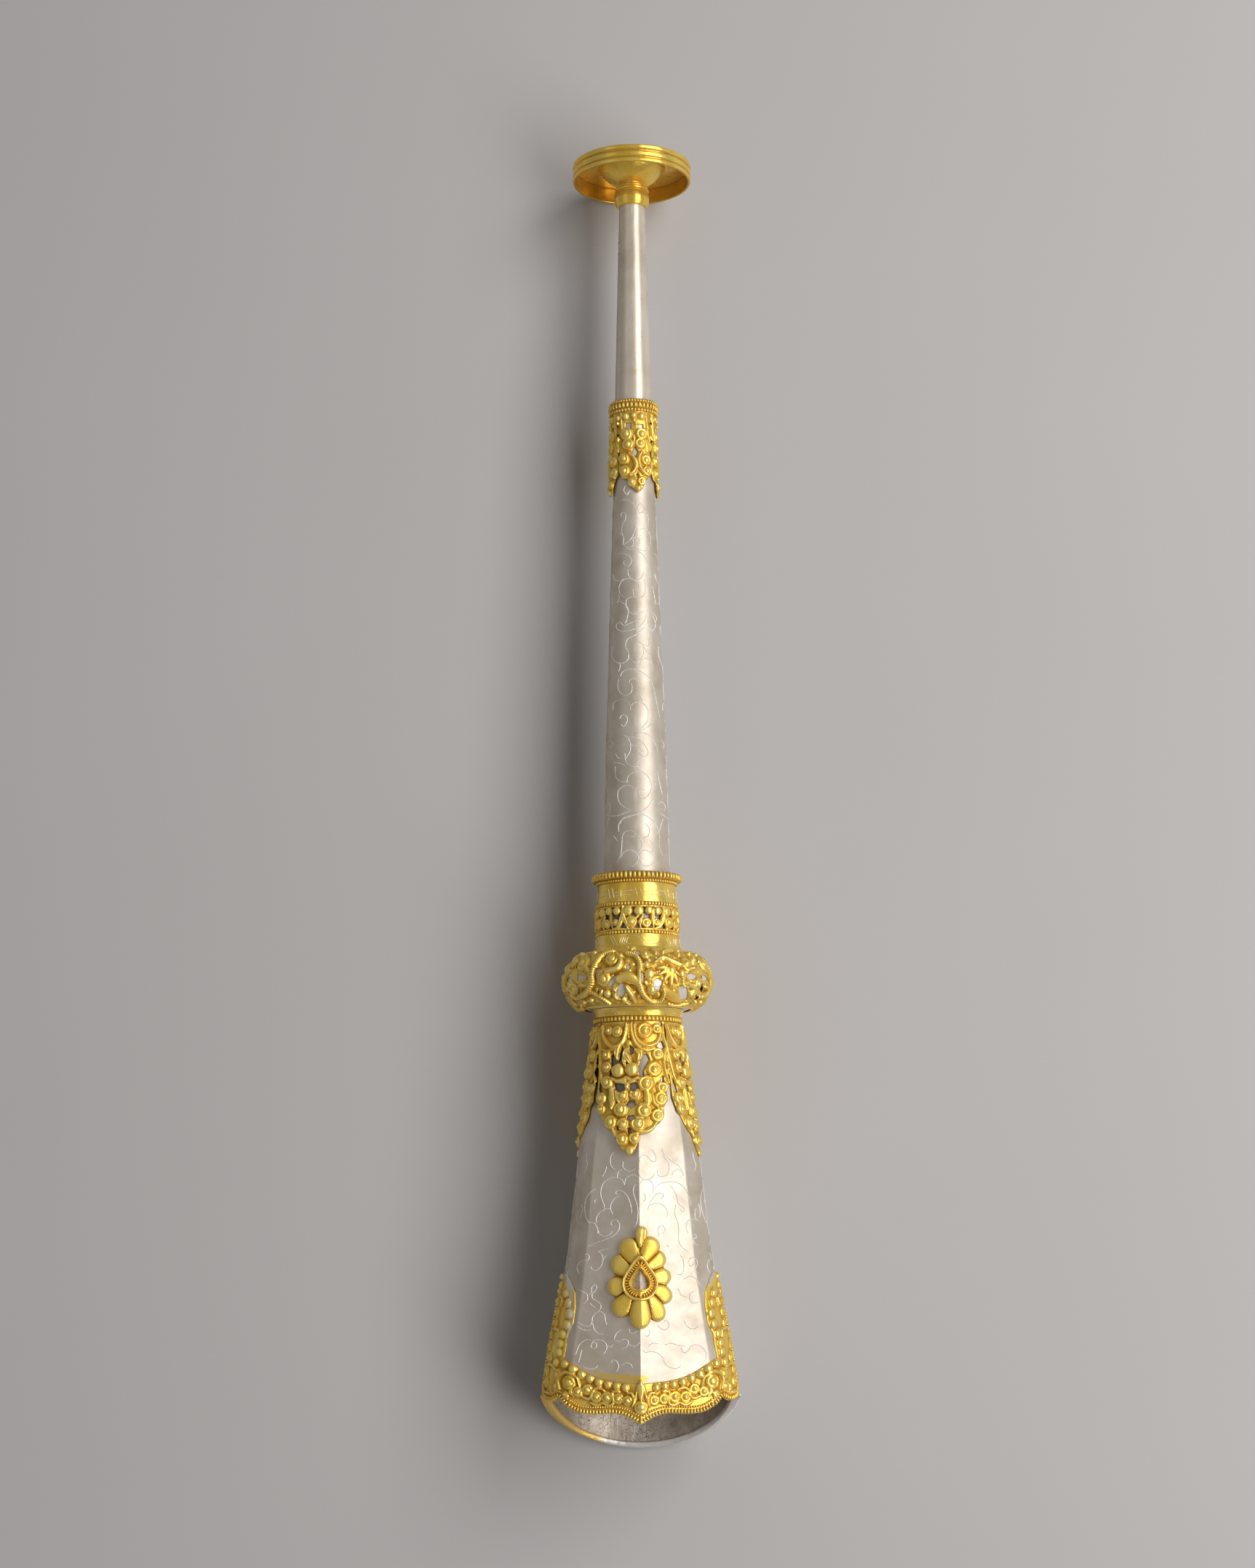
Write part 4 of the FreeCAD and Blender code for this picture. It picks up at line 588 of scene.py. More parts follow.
def beads(name, centres, out_of, along, sizes, finish=chased, wear=0.0, collar=None):
    """A row of beads: sizes are the half sizes along the row, outwards and across.

    collar is the points and faces of a ring that carries them."""
    theta = np.linspace(0, math.pi, BEAD_RINGS + 1)[1:-1]
    ball = [(0.0, 0.0, 1.0)]
    ball += [(math.sin(a) * math.cos(b), math.sin(a) * math.sin(b), math.cos(a))
             for a in theta for b in ring_angles(BEAD_SIDES)]
    ball = np.array([*ball, (0.0, 0.0, -1.0)])
    last = len(ball) - 1
    sides = [(k, (k + 1) % BEAD_SIDES) for k in range(BEAD_SIDES)]
    faces = [(0, 1 + k, 1 + m) for k, m in sides]
    for a in range(1, last - BEAD_SIDES, BEAD_SIDES):
        faces += [(a + k, a + BEAD_SIDES + k, a + BEAD_SIDES + m, a + m) for k, m in sides]
    faces += [(last - BEAD_SIDES + k, last, last - BEAD_SIDES + m) for k, m in sides]
    points, all_faces = [], []
    for n, (c, o, t) in enumerate(zip(centres, unit(out_of), along)):
        t = unit(t - o * (t @ o))
        jitter = 1.0 + rng.uniform(-0.06, 0.06)
        points.append(c + (ball[:, :1] * t * sizes[0] + ball[:, 1:2] * np.cross(o, t) * sizes[2]
                           + ball[:, 2:] * o * sizes[1]) * jitter)
        all_faces += [tuple(i + n * len(ball) for i in f) for f in faces]
    # Painted shade where neighbouring beads meet, and a painted highlight on each bead's middle.
    relief = np.tile(np.clip(0.95 - 1.05 * np.abs(ball[:, 0])**1.4, 0.0, 1.0), len(points))
    points = np.vstack(points)
    if collar:
        all_faces += [tuple(i + len(points) for i in f) for f in collar[1].tolist()]
        points = np.vstack([points, collar[0]])
        # Painted shade on the ring under the beads.
        relief = np.append(relief, np.full(len(collar[0]), 0.2))
    return make_object(name, points, all_faces, finish, wear=wear, relief=relief)


def ring_beads(name, radius, station, pitch, sizes, ring, wear=0.0):
    """Beads all round the horn at one station, over a plain ring of (bore, radius, start, end)."""
    angle = ring_angles(int(round(2 * math.pi * radius / pitch)), 0.5)
    out_of = revolve(1.0, 0.0, angle)
    bore, outer, start, end = ring
    corners = np.array([(bore, start), (outer, start), (outer, end), (bore, end)])
    collar = revolve(corners[:, :1], corners[:, 1:], ring_angles(96)).reshape(-1, 3)
    return beads(name, out_of * radius + (0.0, 0.0, station), out_of,
                 revolve(1.0, 0.0, angle + math.pi / 2), sizes, wear=wear,
                 collar=(collar, grid_faces(4, 96, True, True)))


def turned(name, outline, finish=polished, sides=160, bumps=0.0, wear=0.0, relief=0.8, corners=0.12):
    """A turned piece from a closed half outline of (radius, station), with small rounded corners."""
    p = np.asarray(outline, float)
    path = []
    for b, before, after in zip(p, np.roll(p, 1, axis=0), np.roll(p, -1, axis=0)):
        back, on = before - b, after - b
        cut = min(corners, np.linalg.norm(back) / 2.5, np.linalg.norm(on) / 2.5)
        back, on = unit(back) * cut, unit(on) * cut
        path += [b + back, b + (back + on) * 0.25, b + on]
    fine = []
    for a, b in zip(path, path[1:] + path[:1]):
        count = max(1, int(np.linalg.norm(b - a) / 1.2))
        fine += [a + (b - a) * k / count for k in range(count)]
    radius, station = np.array(fine).T[..., None]
    angle = ring_angles(sides)
    points = revolve(radius + bumps * waves(angle * radius.mean(), station), station, angle).reshape(-1, 3)
    return make_object(name, points, grid_faces(len(fine), sides, True, True), finish, wear=wear,
                       relief=relief)


def tube(name, profile, wall, finish, bumps, rows=260, sides=144):
    """A tapered tube raised by hand, open at both ends."""
    starts, radii = np.transpose(profile)
    stations = np.linspace(starts[0], starts[-1], rows)[:, None]
    radius = np.interp(stations, starts, radii)
    angle = ring_angles(sides)
    back = stations[::-4]
    if back[-1] != stations[0]:
        back = np.vstack([back, stations[:1]])
    points = np.vstack([revolve(radius + bumps * waves(angle * radius, stations), stations, angle),
                        revolve(np.interp(back, starts, radii) - wall, back, angle)])
    return make_object(name, points.reshape(-1, 3), grid_faces(len(points), sides, True, True), finish,
                       wear=0.0, relief=0.8)


# Turned pieces
def arc_points(cx, cy, radius, start, end, count):
    return [(cx + radius * math.cos(math.radians(a)), cy + radius * math.sin(math.radians(a)))
            for a in np.linspace(start, end, count)]


def inside_radius(radius, inner, outer):
    """inner for points nearer to the axis than radius, and outer for the others."""
    return lambda points: np.where(np.hypot(points[:, 0], points[:, 1]) < radius, inner, outer)


def rim_wear(points):
    """Gilding rubbed off the ridges of the mouthpiece's band."""
    ridge = np.clip((np.hypot(points[:, 0], points[:, 1]) - 19.45) / 0.35, 0, 1)
    return 0.2 * ridge + 0.12 * np.clip(points[:, 1] / 20, -1, 1)


CUP_CENTRE, CUP_OUTSIDE, CUP_INSIDE = -5.5, 13.0, 12.1
# Painted shade: the low relief values darken the cup's bowl and the grooves of the band.
turned("mouthpiece_cup_looks",
       [(18.7, 0.0), (18.7, 0.9), *arc_points(0, CUP_CENTRE, CUP_OUTSIDE, 29.5, 70.3, 14), (4.38, 9.3),
        (3.3, 9.3), *arc_points(0, CUP_CENTRE, CUP_INSIDE, 74.2, 27.0, 14)], hammered, 180, 0.05,
       relief=inside_radius(11.5, 0.8, -0.2), corners=0.08)
turned("mouthpiece_rim_band_looks",
       [(18.75, 0.0), (19.55, 0.0), (19.8, 0.35), (19.8, 1.2), (19.25, 1.75), (19.25, 2.05), (19.75, 2.5),
        (19.8, 3.6), (19.3, 4.1), (19.3, 4.35), (19.75, 4.8), (19.8, 5.5), (19.5, 5.9), (18.9, 5.9),
        (18.75, 5.7)], polished, 220, 0.012, rim_wear, inside_radius(19.4, -0.4, 0.6), 0.16)
turned("mouthpiece_ring_moulding_looks",
       [(4.43, 7.55), (4.95, 7.55), (5.4, 7.8), (5.4, 8.15), (5.0, 8.35), (5.3, 8.5), (5.75, 8.75),
        (5.65, 9.25), (4.43, 9.25)], sides=96)
turned("mouthpiece_ferrule_looks",
       [(4.2, 9.3), (5.4, 9.3), (5.75, 10.2), (5.8, 12.0), (5.65, 13.4), (5.1, 14.5), (4.95, 14.7),
        (4.32, 14.7)], sides=120, bumps=0.03)

# Tubes: stations and radii, wall, material and the depth of the dents
MAIN_TUBE = [(84.0, 6.85), (114.0, 6.85), (204.0, 9.9), (246.0, 10.65)]
TUBE_WALL, TUBE_DENTS = 0.65, 0.035
tube("mouthpipe_looks", [(9.35, 4.15), (84.0, 6.15), (98.0, 6.15)], TUBE_WALL, plain, 0.025)
tube("main_tube_looks", MAIN_TUBE, TUBE_WALL, engraved, TUBE_DENTS, rows=420)
tube("knob_sleeve_looks", [(243.35, 11.9), (296.2, 11.9)], 1.2, inner, 0.0, 20, 96)

# Bead rings: radius, station, pitch, half sizes of a bead, and the ring under them
for ring in (
    ("upper_collar_bead_wire_top_looks", 7.75, 84.05, 0.94, (0.44, 0.42, 0.50), (6.9, 7.75, 83.45, 84.5)),
    ("upper_collar_bead_wire_bottom_looks", 7.75, 87.15, 1.08, (0.48, 0.44, 0.55),
     (6.9, 7.75, 86.6, 87.55)),
    ("knob_top_bead_wire_looks", 12.75, 243.75, 0.93, (0.44, 0.42, 0.5), (11.95, 12.8, 243.3, 244.3)),
    ("band_bead_wire_upper_looks", 13.0, 251.2, 1.1, (0.5, 0.5, 0.62), (11.95, 12.95, 250.65, 251.75)),
    ("band_bead_wire_lower_looks", 13.0, 260.3, 1.1, (0.5, 0.5, 0.62), (11.95, 12.95, 259.75, 260.85)),
    ("upper_collar_ring_looks", 7.75, 85.5, 1.36, (0.6, 0.68, 1.0), (6.9, 7.75, 84.45, 86.5)),
    ("knob_top_ring_looks", 13.8, 242.1, 1.43, (0.64, 0.8, 1.12), (10.7, 13.7, 240.95, 243.25),
     lambda p: 0.26 + 0.1 * np.clip(p[:, 1] / 14, -1, 1)),
    ("lower_bead_ring_looks", 13.75, 287.75, 1.36, (0.6, 0.55, 0.84), (13.05, 13.75, 286.9, 288.6), 0.3),
):
    ring_beads(*ring)

# Smooth bands
turned("fret_band_looks", [(11.95, 244.3), (12.5, 244.3), (12.72, 247.4), (12.95, 250.6), (11.95, 250.6)],
       bumps=0.03)
turned("upper_neck_looks", [(11.95, 260.9), (13.55, 260.9), (13.55, 262.4), (13.7, 263.6), (14.1, 265.0),
                            (14.7, 266.0), (14.6, 266.15), (11.95, 266.15)], bumps=0.03)
turned("lower_neck_looks", [(13.05, 284.25), (15.0, 284.25), (14.5, 284.8), (14.15, 285.6), (13.9, 286.85),
                            (13.05, 286.85)], bumps=0.02)

# Knob: a silver core under a pierced gilt shell
HUB, BULGE, BULGE_INSIDE, KNOB_MIDDLE = 13.7, 9.0, 8.2, 275.2
KNOB_SKIN = BULGE + 0.05
turned("knob_core_looks",
       [(11.95, 266.2), *arc_points(HUB, KNOB_MIDDLE, BULGE, -90, 90, 40), (13.05, 284.2), (13.05, 283.4),
        *arc_points(HUB, KNOB_MIDDLE, BULGE_INSIDE, 90, -90, 12), (11.95, 267.0)],
       worn_silver, bumps=0.03, corners=0.05)


def knob_surface(turn_degrees):
    """u is the arc length round the crest, v the arc length along the bulge from its middle."""
    def surface(u, v, h):
        bend = v / KNOB_SKIN
        return revolve(HUB + (KNOB_SKIN + h) * np.cos(bend), KNOB_MIDDLE + (KNOB_SKIN + h) * np.sin(bend),
                       u / (HUB + BULGE) + math.radians(turn_degrees))
    return surface


def swung(x, radius):
    """Arc length from the front of a spot at side distance x."""
    return math.asin(max(-0.96, min(0.96, x / radius)))


def knob_spot(cx, cy):
    """Drawing coordinates of the knob's front to (u, v)."""
    bulge = (266.2 + (cy - 165) / 35.3 - KNOB_MIDDLE) / BULGE
    v = math.asin(max(-0.98, min(0.98, bulge))) * BULGE
    return (HUB + BULGE) * swung((cx - 832) / KNOB_SCALE, HUB + BULGE * math.cos(v / BULGE)), v


KNOB_SCALE = 37.5
KNOB_MARGIN = 0.3
KNOB_EDGE = 11.2
INFILL_PEARLS = 190
GOLDEN, PLASTIC = 0.6180340, 0.7548
KNOB_CREST = 2 * math.pi * (HUB + BULGE)
KNOB_STRANDS = (
    ((150, 300, 240, 380, 290, 470, 250, 560, 160, 560), (0.5, 0.9, 0.5)),
    ((1480, 380, 1400, 420, 1350, 520, 1380, 620, 1480, 680), (0.5, 0.9, 0.5)),
    ((380, 440, 460, 420, 540, 400), (0.4, 0.7, 0.4)), ((960, 540, 1000, 470, 1080, 440), (0.4, 0.8, 0.4)),
    ((180, 650, 300, 640, 420, 700, 520, 760), (0.4, 0.8, 0.5)),
    ((760, 200, 850, 160, 960, 180, 1040, 240), (0.4, 0.8, 0.5)),
    ((420, 190, 480, 160, 580, 150), (0.4, 0.7, 0.4)), ((1180, 760, 1280, 770, 1400, 740), (0.5, 0.8, 0.4)),
)


def knob_draw(field):
    field.metal[:] = KNOB_EDGE - np.abs(field.v)
    for number in range(INFILL_PEARLS):
        across = (number * GOLDEN % 1.0 - 0.5) * KNOB_CREST / 3
        along = ((number + 0.5) / INFILL_PEARLS * 2 - 1) * 9.6
        field.boss(across, along, 0.55 + 0.25 * (number * PLASTIC % 1.0), 0.62)
    for edge in (-10.6, 10.6):
        field.line((-80, edge, 80, edge), 0.35, 0.75, solid=False)
    field.spot = knob_spot
    for points in ((600, 600, 655, 560, 690, 600, 680, 680, 640, 720, 590, 680),
                   (870, 440, 905, 470, 900, 560, 935, 640, 925, 610, 880, 560),
                   (1010, 545, 1060, 520, 1115, 545, 1100, 610, 1075, 660, 1040, 640, 1015, 590),
                   (1320, 590, 1400, 600, 1415, 650, 1400, 720, 1320, 725, 1310, 650),
                   (470, 590, 530, 520, 575, 470, 570, 540, 520, 600),
                   (350, 400, 405, 380, 380, 450, 350, 520, 335, 470),
                   (130, 430, 200, 450, 240, 470, 180, 500, 120, 500),
                   (380, 600, 420, 600, 400, 640, 370, 660),
                   (810, 190, 860, 200, 850, 260, 830, 280, 815, 240),
                   (1400, 460, 1470, 440, 1530, 460, 1500, 500, 1430, 510),
                   (700, 370, 735, 360, 745, 400, 720, 425, 700, 400),
                   (60, 300, 100, 330, 90, 420, 50, 400)):
        field.cut(points)
    for cx, cy, r, way in ((210, 325, 88, 1), (535, 300, 80, -1), (440, 510, 80, 1), (105, 590, 62, -1),
                           (920, 260, 55, 1), (1388, 350, 78, -1), (60, 470, 60, 1), (1520, 545, 62, -1),
                           (1465, 300, 60, 1), (130, 200, 45, -1)):
        field.spiral(cx, cy, r / KNOB_SCALE * 1.12, 1.7, way, 0.2 * way)
    for cx, cy, r in ((395, 640, 48), (480, 665, 45), (590, 690, 52), (680, 730, 40), (965, 470, 58),
                      (990, 640, 58), (930, 370, 40), (1340, 455, 48), (1470, 640, 60), (640, 270, 34),
                      (720, 180, 30), (340, 215, 36), (1290, 200, 34), (1420, 220, 34), (40, 640, 50),
                      (300, 710, 34), (215, 720, 30), (130, 790, 30), (1150, 190, 28)):
        field.boss(cx, cy, r / KNOB_SCALE * 1.05, 1.45)
    for figure in (
            ((560, 215, 440, 250, 350, 350, 315, 470, 290, 570, 220, 650, 90, 680), (0.8, 1.15, 0.8), 1.75,
             0, 0.7),
            ((600, 250, 640, 330, 600, 400, 520, 430, 470, 440), (0.5, 1.0, 0.8), 1.5),
            ((700, 240, 800, 270, 855, 350, 860, 470, 850, 560, 900, 680, 1000, 745, 1090, 730, 1130, 660,
              1110, 600),
             (0.75, 1.2, 0.6), 1.75, 0, 0.7),
            ((610, 520, 690, 500, 770, 520, 840, 560), (1.3, 1.9, 1.2), 1.5),
            ((640, 580, 600, 640, 640, 700, 740, 760), (0.6, 0.9, 0.5), 1.4),
            ((700, 600, 760, 680, 800, 740), (0.6, 1.0, 0.5), 1.35),
            ((1030, 350, 1110, 300, 1220, 330, 1330, 365, 1400, 330), (0.5, 0.9, 0.6), 1.6, 2),
            ((1120, 230, 1220, 200, 1300, 250), (0.6, 1.2, 0.7), 1.35),
            ((1130, 620, 1200, 680, 1290, 720), (1.2, 1.8, 1.4), 1.3, 5),
            ((1420, 560, 1520, 620, 1540, 720), (0.6, 1.1, 0.6), 1.4, 3),
            ((560, 620, 620, 660, 640, 720), (0.5, 0.8, 0.4), 1.4)):
        field.line(*figure)
    field.boss(1215, 430, 1.6, 1.8)
    for x, y, width in ((1040, 410, 0.75), (1060, 480, 0.8), (1120, 545, 0.85), (1200, 600, 0.9),
                        (1275, 560, 0.75), (1300, 480, 0.6)):
        field.leaf((1215, 425, (1215 + x) / 2, (425 + y) / 2 - 8, x, y), width, 1.7)
    for points, widths in KNOB_STRANDS:
        field.line(points, widths, 1.4, mill=0.8)
    field.metal += np.where(field.metal > -2.0, KNOB_MARGIN, 0.0)


def knob_wear(points, h):
    low = np.clip((points[:, 2] - 281.5) / 3.0, 0, 1)
    return 0.12 + 0.34 * low * np.clip(h / 0.8, 0, 1) * 0.8


relief_sheet("knob_openwork_looks", [knob_surface(120 * tile) for tile in range(3)],
             lambda share, v: share * KNOB_CREST / 3, np.linspace(-0.5, 0.5, 232),
             np.linspace(-KNOB_EDGE, KNOB_EDGE, 112), knob_draw, wear=knob_wear)


# Pierced band
BAND_START, BAND_RADIUS, GAUGE_RADIUS = 251.8, 12.65, 12.7


def band_draw(field):
    field.spot = lambda u, v: (u, v + BAND_START)
    for v in (0.25, 7.65):
        field.line((-7.2, v, 7.2, v), 0.45, 0.45)
    for u, v, r in ((-5.3, 1.8, 1.45), (-1.7, 1.9, 1.65), (1.8, 1.9, 1.6), (5.0, 1.7, 1.4)):
        field.boss(u, v, r, 1.25)
    for figure in (
            (-0.6, 5.3, 2.0, 1.25, 1), (4.2, 5.6, 1.6, 1.2, -1), (-5.7, 5.4, 1.3, 1.1, 1)):
        field.spiral(*figure)
    for figure in (
            ((-3.3, 0.3, -3.3, 3.2, -4.6, 6.6, -6.6, 7.4), 1.0, 1.15),
            ((-3.2, 1.2, -2.7, 4.6, -1.6, 7.5), 0.8, 1.05), ((6.9, 0.4, 6.2, 3.4, 6.5, 7.5), 0.95, 1.1),
            ((3.2, 3.0, 2.2, 5.4, 2.4, 7.5), 0.7, 1.0)):
        field.leaf(*figure)
    field.line((1.8, 3.2, 0.9, 4.2), 0.5, 0.8)


relief_sheet("pierced_band_looks", [round_surface(lambda s: BAND_RADIUS, 60 * tile - 6) for tile in range(6)],
             lambda share, v: share * 2 * math.pi * GAUGE_RADIUS / 6, np.linspace(-0.5, 0.5, 78),
             np.linspace(BAND_START, BAND_START + 7.9, 46), band_draw, ground=0.3,
             wear=lambda p, h: 0.12 + 0.05 * h)


# Collars: four tiles of a sheet round a taper, drawn at the radius over their skin
SHEET_OVER = 0.8


def collar(name, radius_at, first_turn, columns, stations, draw, wear):
    def over(s):
        return radius_at(s) + SHEET_OVER

    relief_sheet(name, [round_surface(radius_at, 90 * tile + first_turn, over) for tile in range(4)],
                 lambda share, v: share * (math.pi / 2) * over(v), np.linspace(-0.5, 0.5, columns),
                 stations, draw, wear=wear)


def drawn_on_collar(radius_at, across, down, scale_across, scale_down, start):
    """A function from drawing coordinates of a collar's front to (u, v)."""
    def spot(cx, cy):
        s = start + (cy - down) / scale_down
        radius = float(radius_at(s)) + SHEET_OVER
        return radius * swung((cx - across) / scale_across, radius), s
    return spot


def upper_collar_radius(s):
    return 6.9 + 0.65 * np.clip((s - 87.5) / 28, 0, 1.1)


UPPER_SCALE = 43.5


def upper_collar_draw(field):
    field.spot = drawn_on_collar(upper_collar_radius, 490, 300, UPPER_SCALE, 37.9, 88.0)
    field.metal[:] = np.where(field.v < 101.0, 3.0, NOWHERE)
    field.outline((205, 260, 215, 700, 262, 800, 245, 900, 240, 1060, 285, 1150, 365, 1165,
                   390, 1240, 480, 1305, 540, 1330, 605, 1290, 650, 1200, 690, 1135, 745, 1090,
                   745, 900, 715, 790, 770, 700, 775, 260))
    for points in (
            (348, 440, 434, 440, 434, 512, 348, 512), (545, 452, 618, 452, 618, 508, 545, 508),
            (490, 748, 540, 812, 492, 882, 440, 812), (525, 1085, 545, 1120, 525, 1158, 505, 1120),
            (200, 470, 235, 450, 240, 520, 200, 540), (745, 440, 790, 430, 790, 520, 745, 500)):
        field.cut(points)
    for figure in (
            ((285, 300, 290, 420, 300, 600), (0.35, 0.45, 0.3), 0.75),
            ((655, 300, 672, 450, 700, 640, 740, 760), (0.4, 0.5, 0.3), 0.8),
            ((225, 560, 235, 700, 240, 800), (0.3, 0.5, 0.3), 0.7),
            ((400, 835, 470, 890, 505, 980, 480, 1060, 410, 1110), (0.5, 0.9, 0.5), 1.35, 2),
            ((590, 815, 545, 900, 560, 1000, 610, 1080, 690, 1120), (0.5, 0.85, 0.4), 1.35, 2),
            ((470, 600, 480, 660, 470, 720), (0.4, 0.5, 0.4), 0.7),
            ((640, 640, 680, 720, 690, 780), (0.5, 0.9, 0.5), 0.6)):
        field.line(*figure)
    for cx, cy, r in ((350, 350, 46), (472, 345, 42), (590, 352, 50), (480, 410, 24), (505, 452, 24),
                      (240, 360, 44), (735, 365, 46), (535, 1288, 42), (728, 470, 34), (240, 430, 30)):
        field.boss(cx, cy, r / UPPER_SCALE * 1.08, 1.35)
    for cx, cy, r, way in ((362, 582, 92, 1), (592, 578, 88, -1), (385, 715, 88, -1), (572, 705, 80, 1),
                           (325, 900, 84, 1), (332, 1055, 80, -1), (655, 912, 78, -1), (668, 1055, 76, 1),
                           (438, 1210, 64, 1), (588, 1192, 60, -1), (745, 610, 50, 1), (230, 640, 50, -1)):
        field.spiral(cx, cy, r / UPPER_SCALE * 1.05, 1.55, way, 0.15)


def upper_collar_wear(points, h):
    drop = np.clip((points[:, 2] - 106.2) / 9.0, 0, 1)
    side = np.clip((np.abs(points[:, 0]) - 4.0) / 4.0, 0, 1)
    return 0.10 + 0.38 * drop * side


collar("upper_collar_openwork_looks", upper_collar_radius, 3, 66, np.linspace(87.55, 115.4, 140),
       upper_collar_draw, upper_collar_wear)


# Lambrequin
def lambrequin_radius(s):
    return 13.4 + 5.8 * np.clip((s - 288.7) / 42.5, 0, 1.05)


LAMBREQUIN_SCALE = 34.0
LAMBREQUIN_TURN = -9.0


def lambrequin_draw(field):
    """Stems, lobes and fluted fans, two flaming jewels on a lotus base, and scrolls down to the point."""
    field.spot = drawn_on_collar(lambrequin_radius, 600, 45, LAMBREQUIN_SCALE, 34.35, 289.3)
    field.metal[:] = np.where(field.v < 303.0, 3.0, NOWHERE)
    field.outline((205, 30, 215, 500, 212, 700, 200, 850, 225, 980, 262, 1040, 300, 1130, 350, 1195,
                   420, 1235, 445, 1320, 500, 1390, 560, 1430, 600, 1460, 650, 1425, 690, 1350, 712, 1250,
                   790, 1235, 850, 1180, 925, 1120, 965, 1040, 960, 950, 1000, 880, 985, 790, 1010, 600,
                   1010, 30))
    for points in ((375, 400, 410, 365, 440, 450, 470, 455, 500, 300, 520, 345, 500, 450, 420, 500,
                    385, 520, 372, 450),
                   (588, 290, 625, 310, 632, 370, 600, 385, 585, 340),
                   (740, 385, 775, 380, 805, 440, 770, 500, 740, 570, 745, 620, 700, 625, 690, 520,
                    715, 440),
                   (415, 690, 520, 705, 540, 770, 480, 790, 430, 760),
                   (600, 705, 660, 690, 690, 740, 640, 780, 595, 770),
                   (590, 880, 650, 890, 665, 930, 610, 970, 555, 925),
                   (575, 1045, 640, 1040, 660, 1075, 600, 1100, 570, 1080),
                   (585, 1175, 612, 1180, 620, 1230, 590, 1240, 575, 1210),
                   (895, 255, 930, 240, 955, 300, 930, 330, 880, 300),
                   (925, 640, 950, 610, 955, 690, 920, 680),
                   (245, 630, 262, 700, 275, 780, 240, 790, 225, 740),
                   (465, 1150, 480, 1165, 478, 1200, 455, 1190), (905, 30, 930, 35, 925, 75, 900, 60),
                   (365, 560, 385, 575, 375, 610, 355, 600)):
        field.cut(points)
    for figure in (
            ((548, 50, 548, 130, 515, 235, 470, 300, 455, 400), (0.45, 0.75, 0.35), 1.35, 2),
            ((602, 50, 610, 150, 650, 260, 720, 330, 770, 350), (0.5, 0.8, 0.35), 1.35, 2),
            ((575, 55, 575, 200), 0.35, 0.9),
            ((272, 60, 290, 190, 360, 285, 450, 290, 520, 215, 545, 90), (0.5, 0.85, 0.5), 1.4, 2),
            ((640, 60, 650, 180, 710, 270, 800, 290, 880, 240, 905, 130), (0.5, 0.85, 0.5), 1.4, 2),
            ((640, 240, 700, 320, 790, 340, 850, 315), (0.4, 0.7, 0.4), 1.2),
            ((265, 320, 350, 335, 440, 310, 500, 270), (0.3, 0.55, 0.3), 1.1),
            ((398, 640, 450, 668, 530, 660, 560, 640, 610, 665, 685, 640), (0.5, 0.85, 0.5), 1.5, 2),
            ((430, 690, 520, 695, 600, 690, 650, 680), (0.3, 0.5, 0.3), 1.0),
            ((248, 60, 238, 250, 245, 480, 262, 640, 300, 730), (0.5, 0.8, 0.5), 0.95),
            ((925, 60, 935, 180, 965, 300, 945, 420, 960, 560, 1000, 690), (0.4, 0.75, 0.4), 1.1, 2),
            ((385, 750, 400, 830, 395, 960), (0.9, 1.5, 0.7), 1.35, 5),
            ((440, 760, 455, 850, 490, 920), (0.5, 0.8, 0.4), 1.3, 2),
            ((775, 770, 790, 850, 790, 960), (0.9, 1.4, 0.7), 1.35, 5),
            ((830, 790, 850, 900, 900, 960), (0.5, 0.8, 0.4), 1.2, 2),
            ((885, 1110, 840, 1180, 760, 1220, 680, 1225), (0.5, 0.8, 0.4), 1.1, 2),
            ((410, 1190, 440, 1250, 500, 1290), (0.4, 0.6, 0.4), 0.9)):
        field.line(*figure)
    for figure in (
            (575, 262, 1.1, 1.1), (460, 555, 2.3, 2.0), (612, 545, 2.3, 2.05), (562, 730, 0.85, 1.3),
            (600, 1415, 1.45, 1.0)):
        field.boss(*figure)
    for figure in (
            ((470, 290, 440, 350, 445, 440), 1.2, 1.4), ((650, 330, 700, 380, 680, 460), 1.3, 1.4),
            ((600, 480, 570, 430, 540, 390, 548, 325), 1.5, 1.9),
            ((545, 520, 530, 450, 520, 400), 0.9, 1.7)):
        field.leaf(*figure)
    for cx, cy, r, way in ((350, 118, 52, 1), (447, 132, 66, -1), (748, 125, 88, 1), (866, 105, 55, -1),
                           (322, 382, 56, 1), (330, 515, 62, -1), (335, 680, 74, 1), (882, 380, 68, 1),
                           (850, 542, 86, -1), (768, 700, 90, 1), (932, 735, 70, -1), (268, 850, 70, 1),
                           (515, 825, 72, -1), (655, 815, 66, 1), (920, 862, 82, 1), (268, 965, 58, -1),
                           (495, 978, 80, 1), (752, 985, 84, -1), (890, 1045, 76, 1), (385, 1110, 76, 1),
                           (520, 1135, 70, -1), (690, 1130, 86, 1), (520, 1295, 70, 1), (652, 1285, 66, -1),
                           (1000, 160, 60, 1), (1000, 420, 66, 1), (205, 180, 50, -1), (1000, 560, 50, -1)):
        field.spiral(cx, cy, r / LAMBREQUIN_SCALE, 1.75, way, 0.1 * way)


def lambrequin_wear(points, h):
    drop = np.clip((points[:, 2] - 318.0) / 12.0, 0, 1)
    left = np.clip((-points[:, 0] - 10.0) / 6.0, 0, 1)
    return 0.10 + 0.40 * drop * left


collar("lambrequin_collar_looks", lambrequin_radius, LAMBREQUIN_TURN, 146, np.linspace(288.75, 330.6, 224),
       lambrequin_draw, lambrequin_wear)

